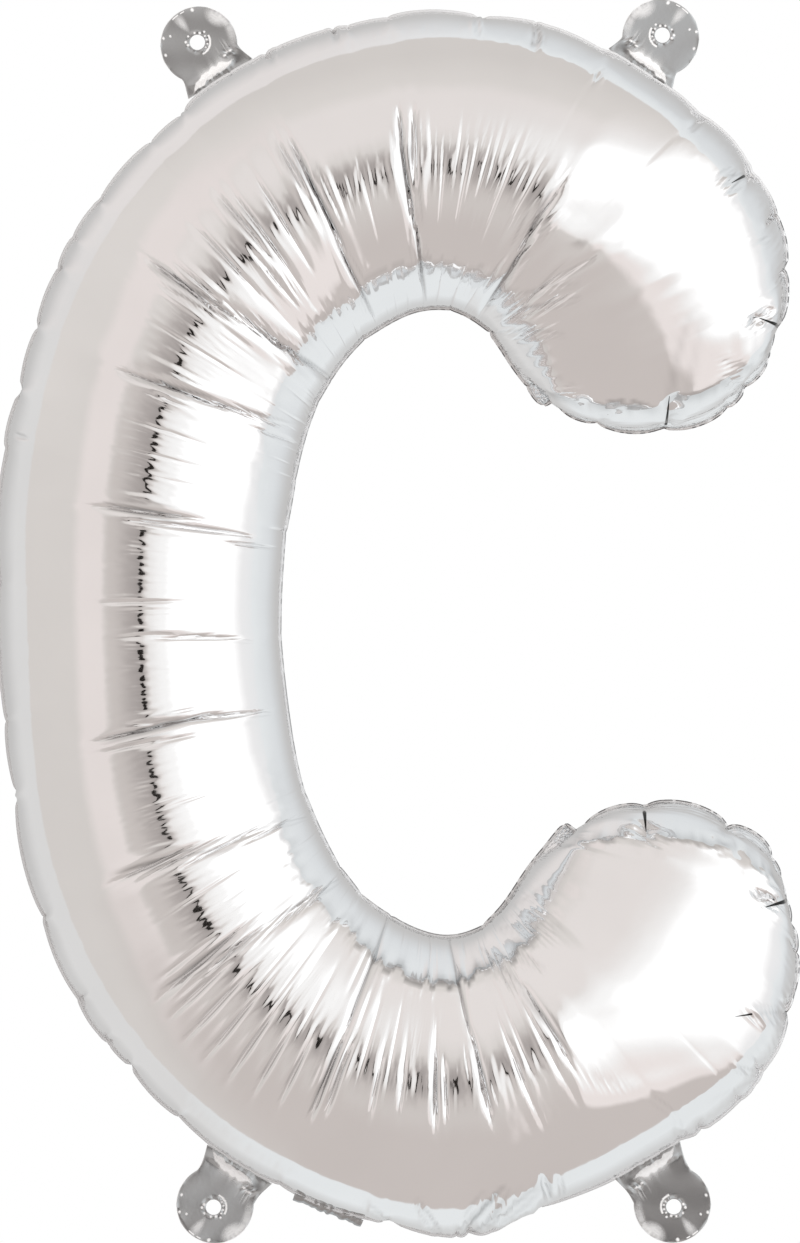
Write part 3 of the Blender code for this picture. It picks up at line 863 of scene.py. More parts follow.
class Nodes:
    """A node tree whose nodes are added and joined in one go."""

    def __init__(self, tree):
        self.tree = tree

    def put(self, value, socket):
        """Join the socket to another node's output, or set it to a plain value."""
        if hasattr(value, "is_linked"):
            self.tree.links.new(value, socket)
        else:
            socket.default_value = value

    def add(self, kind, inputs=None, **settings):
        """A new node with its settings, and its inputs by name or number."""
        node = self.tree.nodes.new(kind)
        for name, value in settings.items():
            setattr(node, name, value)
        for name, value in (inputs or {}).items():
            self.put(value, node.inputs[name])
        return node

    def first(self, kind, inputs=None, **settings):
        """The first output of a new node."""
        return self.add(kind, inputs, **settings).outputs[0]

    def ends(self, inputs, outputs):
        """The group's own inputs, each a kind, a name and at times a default, and its outputs."""
        for way, sockets in (("INPUT", inputs), ("OUTPUT", outputs)):
            for kind, name, *default in sockets:
                socket = self.tree.interface.new_socket(name=name, in_out=way,
                                                        socket_type="NodeSocket" + kind)
                for value in default:
                    socket.default_value = value
        return self.add("NodeGroupInput").outputs, self.add("NodeGroupOutput").inputs

    def number(self, operation, *values):
        return self.first("ShaderNodeMath", dict(enumerate(values)), operation=operation)

    def vector(self, operation, *values):
        node = self.add("ShaderNodeVectorMath", dict(enumerate(values)), operation=operation)
        return node.outputs[1 if operation in ("LENGTH", "DOT_PRODUCT") else 0]

    def span(self, value, start, stop, low=0, high=1, steps="LINEAR"):
        """The value's share of the way from start to stop, as a number from low to high."""
        return self.first("ShaderNodeMapRange", {"Value": value, "From Min": start, "From Max": stop,
                                                 "To Min": low, "To Max": high}, interpolation_type=steps)

    def paint(self, mask, under, over, blend="MIX"):
        node = self.add("ShaderNodeMix", {0: mask, 6: under, 7: over}, data_type="RGBA", blend_type=blend)
        return node.outputs[2]

    def noise(self, place, scale, detail):
        inputs = {"Vector": place, "Scale": scale, "Detail": detail}
        return self.add("ShaderNodeTexNoise", inputs).outputs["Fac"]

    def place(self):
        """Where a point of the piece lies."""
        return self.add("ShaderNodeTexCoord").outputs["Object"]

    def mask(self, name):
        """A number stored with the piece's points."""
        return self.add("ShaderNodeAttribute", attribute_name=name).outputs["Fac"]


# Materials

def rolled_foil_group():
    """Node group for metal film: rolling streaks, hand smudges and fine crinkles, stronger near a weld."""
    group = bpy.data.node_groups.get("Rolled foil")
    if group:
        return group
    group = bpy.data.node_groups.new("Rolled foil", "ShaderNodeTree")
    nodes = Nodes(group)
    number = nodes.number
    given, result = nodes.ends(
        (("Vector", "Vector"), ("Color", "Tint", (0.9, 0.9, 0.9, 1)), ("Float", "Gloss Low", 0.04),
         ("Float", "Gloss High", 0.09), ("Float", "Crinkle Scale", 600), ("Float", "Weld", 0)),
        (("Color", "Colour"), ("Float", "Roughness"), ("Float", "Height")))
    place = given["Vector"]
    smudge = nodes.noise(place, 28, 3)
    streak = nodes.noise(nodes.first("ShaderNodeMapping", {"Vector": place, "Scale": (1, 14, 1)}), 90, 2)
    worn = number("ADD", number("MULTIPLY", smudge, 0.7), number("MULTIPLY", streak, 0.3))
    gloss = nodes.span(worn, 0.35, 0.7, given["Gloss Low"], given["Gloss High"])
    nodes.put(number("ADD", gloss, number("MULTIPLY", given["Weld"], 0.08)), result["Roughness"])
    dull = nodes.span(smudge, 0.3, 0.7, 0.965, 1)
    nodes.put(nodes.paint(1, given["Tint"], dull, "MULTIPLY"), result["Colour"])
    crinkle = nodes.add("ShaderNodeTexVoronoi", {"Vector": place, "Scale": given["Crinkle Scale"]},
                        feature="DISTANCE_TO_EDGE").outputs["Distance"]
    ridge = number("MULTIPLY", number("MINIMUM", crinkle, 0.25), given["Weld"])
    gentle = number("MULTIPLY", nodes.noise(place, 130, 2), 0.12)
    nodes.put(number("ADD", ridge, gentle), result["Height"])
    return group


def new_material(name):
    """A new material, its node tree and its shader."""
    material = bpy.data.materials.new(name)
    material.use_nodes = True
    return material, Nodes(material.node_tree), material.node_tree.nodes["Principled BSDF"]


def foil_material(name, tint, gloss, crinkle, bump, weld):
    """A metal film made from the shared group, its node tree, its shader's inputs and the group's outputs.
    The weld is a number, or the name of a mask, that says how strongly the film is crinkled."""
    material, nodes, shader = new_material(name)
    foil = nodes.add("ShaderNodeGroup", {
        "Vector": nodes.place(), "Tint": (*tint, 1), "Gloss Low": gloss[0], "Gloss High": gloss[1],
        "Crinkle Scale": crinkle, "Weld": nodes.mask(weld) if isinstance(weld, str) else weld,
    }, node_tree=rolled_foil_group()).outputs
    raised = nodes.add("ShaderNodeBump", {"Strength": 1, "Distance": bump, "Height": foil["Height"]})
    for value, name in ((1, "Metallic"), (foil["Colour"], "Base Color"), (foil["Roughness"], "Roughness"),
                        (raised.outputs["Normal"], "Normal")):
        nodes.put(value, shader.inputs[name])
    return material, nodes, shader.inputs, foil


def pinched_fold_group():
    """Node group for a fold that is pinched shut: 1 along a line seen from the front, widest at its end."""
    group = bpy.data.node_groups.new("Pinched fold", "ShaderNodeTree")
    nodes = Nodes(group)
    number = nodes.number
    vector = nodes.vector
    given, result = nodes.ends((("Vector", "Vector"), ("Vector", "Start"), ("Vector", "Run"),
                                ("Float", "Width", 0.0005)), (("Float", "Mask"),))
    run = given["Run"]
    away = vector("MULTIPLY", vector("SUBTRACT", given["Vector"], given["Start"]), (1, 0, 1))
    share = number("DIVIDE", vector("DOT_PRODUCT", away, run), vector("DOT_PRODUCT", run, run))
    share = number("MINIMUM", number("MAXIMUM", share, 0), 1)
    nearest = nodes.first("ShaderNodeVectorMath", {0: run, 3: share}, operation="SCALE")
    gap = vector("LENGTH", vector("SUBTRACT", away, nearest))
    wide = number("MULTIPLY", given["Width"], number("ADD", 0.25, share))
    inside = nodes.span(number("DIVIDE", gap, wide), 1.25, 0.75)
    depth = nodes.add("ShaderNodeSeparateXYZ", {0: given["Vector"]}).outputs["Y"]
    nodes.put(number("MULTIPLY", inside, number("LESS_THAN", depth, -0.0015)), result["Mask"])
    return group


def film_material(tint):
    """The letter's foil, with painted shade along its folds, painted near black where a fold is pinched shut.
    """
    material, nodes, shader, foil = foil_material("silver foil", tint, (0.035, 0.07), 700, 0.0003, "weld")
    group = pinched_fold_group()
    place = nodes.place()
    dark = nodes.mask("fold")
    for x1, y1, x2, y2, width in DARK_FOLDS:
        start = np.array(photo_point(x1, y1)) * MM
        run = np.array(photo_point(x2, y2)) * MM - start
        line = nodes.first("ShaderNodeGroup", {"Vector": place, "Start": (start[0], 0, start[1]),
                                               "Run": (run[0], 0, run[1]), "Width": width * MM},
                           node_tree=group)
        dark = nodes.number("MAXIMUM", dark, line)
    # Painted shade: the fold mask and the pinched folds turn the foil towards near black
    nodes.put(nodes.paint(dark, foil["Colour"], FOLD_SHADE_COLOUR), shader["Base Color"])
    return material


def border_material(tint):
    """The welded strip's foil, with a dark rim that breaks up into dashes where the strip is crimped, and
    pale where it isn't."""
    material, nodes, shader, foil = foil_material("welded border foil", tint, (0.3, 0.42), 900, 0.0002, 0.4)
    crimp = nodes.mask("crimp")
    dashes = nodes.span(nodes.noise(nodes.place(), 420, 0), 0.5, 0.56)
    rim = nodes.span(nodes.mask("rim"), 0.55, 0.72, 0, 0.9)
    kept = nodes.number("SUBTRACT", 1, nodes.number("MULTIPLY", dashes, crimp))
    metal = nodes.span(crimp, 0.12, 0.6, 0.2, 1)
    dark = nodes.number("MULTIPLY", nodes.number("MULTIPLY", rim, kept), metal)
    nodes.put(nodes.paint(dark, foil["Colour"], RIM_COLOUR), shader["Base Color"])
    nodes.put(metal, shader["Metallic"])
    return material


def tab_material(tint):
    """The tabs' foil: satin grey film with white painted highlights and painted shade in its folds, point by
    point.
    """
    material, nodes, shader, foil = foil_material("tab foil", tint, (0.12, 0.2), 380, 0.00008, 0.1)
    # Painted highlights: where this mask is high the film turns matt, rough and white; the shadow mask paints
    # shade
    painted_highlight = nodes.mask("painted_highlight")
    shaded = nodes.paint(nodes.mask("shadow"), foil["Colour"], TAB_SHADOW)
    nodes.put(nodes.paint(painted_highlight, shaded, WHITE), shader["Base Color"])
    nodes.put(nodes.span(painted_highlight, 0, 1, 1, 0), shader["Metallic"])
    nodes.put(nodes.number("MULTIPLY_ADD", painted_highlight, 0.4, foil["Roughness"]), shader["Roughness"])
    return material


def tail_material(tint):
    """The filling neck's crinkled foil, dark by its root."""
    material, nodes, shader, foil = foil_material("tail foil", tint, (0.12, 0.22), 560, 0.0003, 0.5)
    nodes.put(nodes.paint(nodes.mask("shadow"), foil["Colour"], TAIL_SHADOW), shader["Base Color"])
    return material


def floor_material(colour):
    """A pale, faintly clouded floor that fades into the white surroundings, its outer part glowing white as
    painted light.
    """
    material, nodes, shader = new_material("studio floor")
    place = nodes.place()
    cloud = nodes.span(nodes.noise(place, 2.5, 4), 0.3, 0.7)
    darker = (*(FLOOR_CLOUD * value for value in colour), 1)
    nodes.put(nodes.paint(cloud, darker, (*colour, 1)), shader.inputs["Base Color"])
    nodes.put(0.8, shader.inputs["Roughness"])
    fade = nodes.span(nodes.vector("LENGTH", place), 1.4, 2.9, steps="SMOOTHSTEP")
    glow = nodes.first("ShaderNodeEmission")
    mixed = nodes.first("ShaderNodeMixShader", {0: fade, 1: shader.outputs[0], 2: glow})
    nodes.put(mixed, material.node_tree.nodes["Material Output"].inputs["Surface"])
    return material


# Operators

class MakeFilm(bpy.types.Operator):
    """Blow up the two foil sheets of the letter"""
    bl_idname = "foil_letter.make_film"
    bl_label = "Make the film"

    def execute(self, context):
        sizes = context.scene.foil_film
        columns = sizes.columns
        points, over, down, fold = blow_up_film(sizes)
        made["film"] = points
        material = film_material(sizes.tint)
        weld = bell(edge_distance(over, down, columns), 5)
        back = np.arange(columns, 2 * columns + 1) % (2 * columns)
        for name, part in (("film_front_sheet", np.arange(columns + 1)), ("film_back_sheet", back)):
            sheet = points[:, part] * MM
            piece = new_piece(name, sheet.reshape(-1, 3), grid_faces(len(sheet), columns + 1), material)
            set_uv(piece, np.stack([down[:, part] * MM, over[:, part] * MM], axis=-1).reshape(-1, 2))
            set_mask(piece, "weld", weld[:, part])
            # The fold mask of painted shade, which the film's material reads
            set_mask(piece, "fold", fold[:, part])
            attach(piece, "envelope")
            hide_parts("film_front" if "front" in name else "film_back")
        return {"FINISHED"}


def border_tree():
    """Geometry nodes that sweep a thin strip along the weld, mark its outer rim and crimp it."""
    tree = bpy.data.node_groups.new("Welded border", "GeometryNodeTree")
    nodes = Nodes(tree)
    first = nodes.first
    number = nodes.number
    given, result = nodes.ends(
        (("Geometry", "Geometry"), ("Float", "Width"), ("Float", "Thickness"), ("Float", "Crimp Height"),
         ("Float", "Crimp Length"), ("Float", "Step"), ("Material", "Material")), (("Geometry", "Geometry"),))
    curve = first("GeometryNodeMeshToCurve", {"Mesh": given["Geometry"]})
    curve = first("GeometryNodeResampleCurve", {"Curve": curve, "Length": given["Step"]}, mode="LENGTH")
    curve = first("GeometryNodeSetCurveNormal", {"Curve": curve, "Normal": (0, -1, 0)}, mode="FREE")
    strip = first("GeometryNodeCurvePrimitiveQuadrilateral",
                  {"Width": given["Thickness"], "Height": given["Width"]})
    aside = first("ShaderNodeCombineXYZ", {"Y": number("MULTIPLY", given["Width"], 0.25)})
    strip = first("GeometryNodeTransform", {"Geometry": strip, "Translation": aside})
    side = nodes.add("ShaderNodeSeparateXYZ", {0: first("GeometryNodeInputPosition")}).outputs["Y"]
    strip = first("GeometryNodeStoreNamedAttribute",
                  {"Geometry": strip, "Name": "rim", "Value": number("GREATER_THAN", side, 0)})
    mesh = first("GeometryNodeCurveToMesh", {"Curve": curve, "Profile Curve": strip})
    scale = number("DIVIDE", 1, given["Crimp Length"])
    wave = nodes.add("ShaderNodeTexNoise", {"Scale": scale, "Detail": 3, "Roughness": 0.6}).outputs["Fac"]
    local = number("MULTIPLY", first("GeometryNodeInputNamedAttribute", {"Name": "crimp"}),
                   given["Crimp Height"])
    raised = number("MULTIPLY", number("SUBTRACT", wave, 0.5), local)
    mesh = first("GeometryNodeSetPosition",
                 {"Geometry": mesh, "Offset": first("ShaderNodeCombineXYZ", {"Y": raised})})
    mesh = first("GeometryNodeRealizeInstances", {"Geometry": mesh})
    mesh = first("GeometryNodeSetMaterial", {"Geometry": mesh, "Material": given["Material"]})
    nodes.put(mesh, result["Geometry"])
    return tree


def set_input(modifier, name, value):
    """Set a modifier's input by its socket's identifier."""
    for item in modifier.node_group.interface.items_tree:
        if item.item_type == "SOCKET" and item.in_out == "INPUT" and item.name == name:
            modifier[item.identifier] = value
            return
    raise ValueError("no input named " + name)


def bake_modifier(source, name):
    """The evaluated object as a plain mesh object."""
    bpy.context.view_layer.update()
    evaluated = source.evaluated_get(bpy.context.evaluated_depsgraph_get())
    mesh = bpy.data.meshes.new_from_object(evaluated)
    mesh.name = name
    bpy.data.objects.remove(source, do_unlink=True)
    return show(name, mesh)


class MakeBorder(bpy.types.Operator):
    """Sweep the welded border round the blown-up film"""
    bl_idname = "foil_letter.make_border"
    bl_label = "Make the border"

    def execute(self, context):
        sizes = context.scene.foil_border
        line = weld_line(made["film"], context.scene.foil_film.columns) * MM
        count = len(line)
        mesh = bpy.data.meshes.new("weld_line")
        mesh.from_pydata(line.tolist(), [(index, (index + 1) % count) for index in range(count)], [])
        source = show("weld_line", mesh)
        set_mask(source, "crimp", crimped(line / MM))
        material = border_material(sizes.tint)
        modifier = source.modifiers.new("Welded border", "NODES")
        modifier.node_group = border_tree()
        for name, value in (("Width", sizes.width), ("Thickness", sizes.thickness),
                            ("Crimp Height", sizes.crimp_height), ("Crimp Length", sizes.crimp_length),
                            ("Step", STRIP_STEP), ("Material", material)):
            set_input(modifier, name, value)
        piece = bake_modifier(source, "welded_border")
        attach(piece, "envelope")
        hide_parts("seam_border")
        return {"FINISHED"}


def tab_outline(standoff, radius, count):
    """Evenly spaced outline of a tab, as sideways and outward distances from its hinge line."""
    disc = []
    for turn in np.linspace(TAB_DISC_START, math.pi - TAB_DISC_START, 120):
        disc.append((radius * math.cos(turn), standoff + radius * math.sin(turn)))
    neck = (-TAB_NECK_HALF_WIDTH, TAB_NECK_SHARE * standoff)
    left = np.array([disc[-1], neck, (-TAB_ROOT_HALF_WIDTH, ROOT_START)])
    left = smooth_curve(left, np.linspace(0, 1, 30))[1:]
    right = left[::-1] * (-1, 1)
    root = np.linspace(left[-1], right[0], 40)
    outline = np.concatenate([disc, left, root[1:-1], right])
    closed = np.concatenate([outline, outline[:1]])
    gone = distances(closed)
    places = np.linspace(0, gone[-1], count + 1)[:-1]
    return np.stack([np.interp(places, gone, closed[:, axis]) for axis in (0, 1)], axis=1)


def tab_relief(side, out, standoff, edge):
    """Height of a tab's folds over its flat points, for crinkles one unit high."""
    chance = np.random.default_rng(11)
    loose = 0.25 + 0.75 * np.exp(-edge / 4.0)
    height = np.zeros_like(side)
    for wave in range(5):
        angle = chance.uniform(0, 2 * math.pi)
        along = side * math.cos(angle) + out * math.sin(angle)
        turn = 2 * math.pi * along / chance.uniform(9, 15) + chance.uniform(0, 6)
        height += 0.12 * loose * np.sin(turn)
    crest = 2.9 + 0.3 * jagged(side, 1.3, 3)
    height += 0.9 * bell(out, 1.0, crest) * bell(side, 8, -1.5, 6)
    height += 0.2 * jagged(side, 0.9, 6) * bell(out, 2.2)
    height += 0.9 * bell(side, 2.2, 7.2) * bell(out, 1.0, 5.6) * np.cos(side * 2.6 + out)
    stamp = bell(np.hypot(side, out - standoff - HOLE_OFFSET), 0.5, 3.2)
    turn = np.arctan2(side, out - standoff)
    height += 0.35 * stamp * jagged(turn * 4, 1, 5)
    height += 0.4 * np.exp(-edge / 0.35) * jagged(turn * 10, 1.1, 8)
    return height


def spot(side, out, place, size, softness):
    """1 inside a small oval, 0 outside it: place is the oval's middle and size its two half widths."""
    away = np.hypot((side - place[0]) / size[0], (out - place[1]) / size[1])
    return ramp(away, 1 + softness, 1 - softness)


def by_hole(angle, reach):
    """A place beside the tab's hole, from its angle in degrees and its distance."""
    return reach * math.cos(math.radians(angle)), reach * math.sin(math.radians(angle))


def tab_painted_highlights(side, out, standoff, edge):
    """Painted highlights on the film of a tab, from 0 to 1: white along the pressed fold by the root, round
    the stamp about the hole, in small dots near the rim and in soft clouds."""
    hole = out - standoff - HOLE_OFFSET
    away = np.hypot(side, hole)
    turn = np.degrees(np.arctan2(hole, side))
    fold = 2.9 - 0.028 * np.minimum(side + 1, 0) ** 2 + 0.35 * jagged(side, 1.1, 21)
    thick = 1.25 * ramp(side, 6.4, 3.4) * ramp(side, -9.4, -6.4) + 0.2 * jagged(side, 0.8, 22)
    painted_highlight = ramp(thick - np.abs(out - fold), -0.175, 0.175) * (np.abs(side + 1.5) < 8.6)
    spray = np.exp(-np.clip(out - fold - thick, 0, 9) / (1.3 + 0.7 * jagged(side, 1.0, 23)))
    painted_highlight += 0.75 * spray * (out > fold) * bell(side, 5.5, power=4)
    painted_highlight += ramp(np.abs(away - 4.2), 0.36, 0.24) * (turn > -98) * (turn < 2)
    for angle, reach, size in ((25, 4.1, 0.36), (44, 3.1, 0.4), (75, 3.2, 0.34), (115, 3.6, 0.34),
                               (147, 3.8, 0.42), (165, 3.2, 0.4), (-15, 3.2, 0.34), (-40, 3.3, 0.3),
                               (-62, 3.2, 0.3), (8, 3.2, 0.3)):
        painted_highlight += spot(side, hole, by_hole(angle, reach), (size, size), 0.3)
    for angle, reach, size in ((67, 10.8, 0.5), (141, 11.2, 0.4), (135, 9.1, 0.34), (170, 11.2, 0.4)):
        painted_highlight += spot(side, hole, by_hole(angle, reach), (size, 1.2 * size), 0.3)
    painted_highlight += (np.abs(edge - 0.75) < 0.3) * (turn > 82) * (turn < 106) * (jagged(turn, 3, 24) > -0.4)
    grain = 0.7 + 0.3 * jagged(turn, 2.5, 25) * jagged(away * 10, 4, 26)
    for strength, place, size, softness in (
            (0.95, (22, 10.4), (17, 2.2), 0.5), (0.75, (97, 8.2), (8, 2.8), 0.6),
            (0.6, (-12, 11.6), (22, 1.3), 0.5)):
        painted_highlight += strength * spot(turn, away, place, size, softness) * grain
    for place in ((7.6, 6.0), (6.4, 6.2), (5.2, 5.6)):
        painted_highlight += spot(side, out, place, (0.55, 0.3), 0.3)
    painted_highlight += 0.5 * spot(side, out, (6.2, 8.0), (1.6, 2.2), 0.7) * (jagged(side, 0.5, 27) > 0)
    painted_highlight += ramp(edge, 0.25, 0) * (0.6 + 0.4 * jagged(turn, 7, 28))
    return np.clip(painted_highlight, 0, 1)


def tab_shadow(side, out, standoff):
    """Where a tab's film is darker: the pinched fold by its neck, the corner by the root and small pits."""
    dark = 0.55 * spot(side, out, (6.9, 5.2), (1.7, 0.42), 0.4)
    dark += 0.5 * spot(side, out, (8.4, 3.0), (1.6, 1.3), 0.6)
    dark += 0.35 * spot(side, out, (7.6, 7.0), (0.4, 0.7), 0.5)
    hole = out - standoff - HOLE_OFFSET
    for angle, reach in ((12, 11.7), (30, 3.5), (58, 3.3), (-5, 3.6), (-30, 3.6), (130, 3.6)):
        dark += 0.6 * spot(side, hole, by_hole(angle, reach), (0.3, 0.3), 0.4)
    return np.clip(dark, 0, 1)


class MakeTabs(bpy.types.Operator):
    """Make the four hanging tabs with their punched holes and crinkles"""
    bl_idname = "foil_letter.make_tabs"
    bl_label = "Make the tabs"

    def execute(self, context):
        sizes = context.scene.foil_tabs
        material = tab_material(sizes.tint)
        for name, (place, standoff, facing) in TABS.items():
            base, outward, sideways = edge_frame(place)
            hinge = base + outward * HINGE_GAP / 2
            outline = tab_outline(standoff, sizes.radius / MM, TAB_POINTS)
            centre = np.array([0, standoff + HOLE_OFFSET])
            ray = outline - centre
            length = np.linalg.norm(ray, axis=1)
            punched = centre + sizes.hole_radius / MM * ray / length[:, None]
            share = np.linspace(0, 1, TAB_RINGS + 1)[:, None, None]
            flat = punched[None] * (1 - share) + outline[None] * share
            edge = (1 - share[..., 0]) * length[None]
            side = flat[..., 0] * facing
            out = flat[..., 1]
            relief = tab_relief(side, out, standoff, edge) * sizes.crinkle / MM
            relief *= ramp(out, 0, 1.5) ** 0.5
            relief -= math.copysign(math.sin(TAB_LEAN), outward[1]) * np.maximum(out, 0)
            spread = hinge + flat[..., :1] * sideways + flat[..., 1:] * outward
            points = np.stack([spread[..., 0], -relief, spread[..., 1]], axis=-1)
            turned = np.cross([sideways[0], 0, sideways[1]], [outward[0], 0, outward[1]])[1] < 0
            faces = grid_faces(TAB_RINGS + 1, TAB_POINTS, turned, closed=True)
            piece = new_piece(name + "_foil", points.reshape(-1, 3) * MM, faces, material)
            # Masks of the tab's painted highlights and painted shade
            set_mask(piece, "painted_highlight", tab_painted_highlights(side, out, standoff, edge))
            set_mask(piece, "shadow", tab_shadow(side, out, standoff))
            thicken(piece, sizes.thickness)
            piece.visible_glossy = False
            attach(piece, name)
            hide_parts(name)
        return {"FINISHED"}


def tail_crinkle(reach, side, width, length):
    """Height of the neck's random crinkles, each a short ridge."""
    chance = np.random.default_rng(5)
    height = np.zeros_like(reach)
    for ridge in range(22):
        turn = chance.uniform(0, math.pi)
        along = reach - chance.uniform(4, length)
        aside = side - chance.uniform(-width / 2, width / 2)
        run = along * math.cos(turn) + aside * math.sin(turn)
        beside = aside * math.cos(turn) - along * math.sin(turn)
        ridge = np.exp(-np.abs(beside) / chance.uniform(0.5, 1.5)) * bell(run, 5)
        height += chance.uniform(-0.55, 0.55) * ridge
    return height


class MakeTail(bpy.types.Operator):
    """Make the flat filling neck that is folded up behind the letter"""
    bl_idname = "foil_letter.make_tail"
    bl_label = "Make the tail"

    def execute(self, context):
        sizes = context.scene.foil_tail
        base, outward, sideways = edge_frame(TAIL_PLACE)
        hinge = base + outward * (HINGE_GAP / 2 - 1) + sideways * TAIL_SHIFT
        out = np.array([outward[0], 0, outward[1]])
        side = np.array([sideways[0], 0, sideways[1]])
        back = np.array([0, 1.0, 0])
        width = sizes.width / MM
        length = sizes.length / MM
        reach = np.linspace(ROOT_START, length, TAIL_ROWS + 1)
        across = np.linspace(-0.5, 0.5, TAIL_COLUMNS + 1)
        grid_reach, grid_side = np.meshgrid(reach, across * width, indexing="ij")
        angle = (ramp(reach, 0, TAIL_BEND * TAIL_FOLD) * TAIL_FOLD)[:, None]
        step = np.gradient(reach)[:, None]
        path_out = np.cumsum(np.cos(angle) * step, axis=0) + ROOT_START
        path_back = np.cumsum(np.sin(angle) * step, axis=0)
        line = np.array([hinge[0], 0, hinge[1]]) + path_out * out + path_back * back
        face = np.cos(angle) * back - np.sin(angle) * out
        wide = (1 - (1 - sizes.taper) * ramp(reach, 0, length)) * width
        flat = line[:, None] + (across[None, :] * wide[:, None])[..., None] * side
        crinkle = tail_crinkle(grid_reach, grid_side, width, length) * ramp(grid_reach, 0, 4)
        crinkle += 0.55 * jagged(grid_side + 0.3 * grid_reach, 1.1, 6) * bell(grid_reach, 2.2, 2)
        mouth = ramp(reach, 0.55 * length, length)[:, None] ** 2
        open_part = np.clip((1 - np.abs(2 * across)) * 3, 0, 1)[None, :]
        gap = 0.12 + 0.9 * mouth * open_part + 0.10 * bell(np.abs(across), 0.02, 0.36)[None, :]
        sheets = [flat + (crinkle + ply * gap)[..., None] * face[:, None] for ply in (-1, 1)]
        size = crinkle.size
        faces = grid_faces(*crinkle.shape)
        index = np.arange(size).reshape(crinkle.shape)
        edges = []
        for rim in (index[:, 0], index[::-1, -1], index[0, ::-1]):
            edges.append(np.stack([rim[:-1], rim[1:], rim[1:] + size, rim[:-1] + size], axis=1))
        faces = np.concatenate([faces, faces[:, ::-1] + size, *edges])
        points = np.concatenate(sheets).reshape(-1, 3) * MM
        piece = new_piece("inflation_tail_foil", points, faces, tail_material(sizes.tint))
        set_mask(piece, "shadow", np.tile(bell(np.maximum(grid_reach - 5, 0), 4).ravel(), 2))
        thicken(piece, TAIL_SHEET)
        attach(piece, "inflation_tail")
        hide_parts("inflation_tail")
        return {"FINISHED"}


def screen_colour(red, green, blue):
    """The light that silver foil turns into a colour, given as it shows on the screen from 0 to 255."""
    linear = [value / 255 / 12.92 if value <= 10 else ((value / 255 + 0.055) / 1.055) ** 2.4
              for value in (red, green, blue)]
    return tuple(value / FOIL_MIRRORS for value in linear) + (1,)


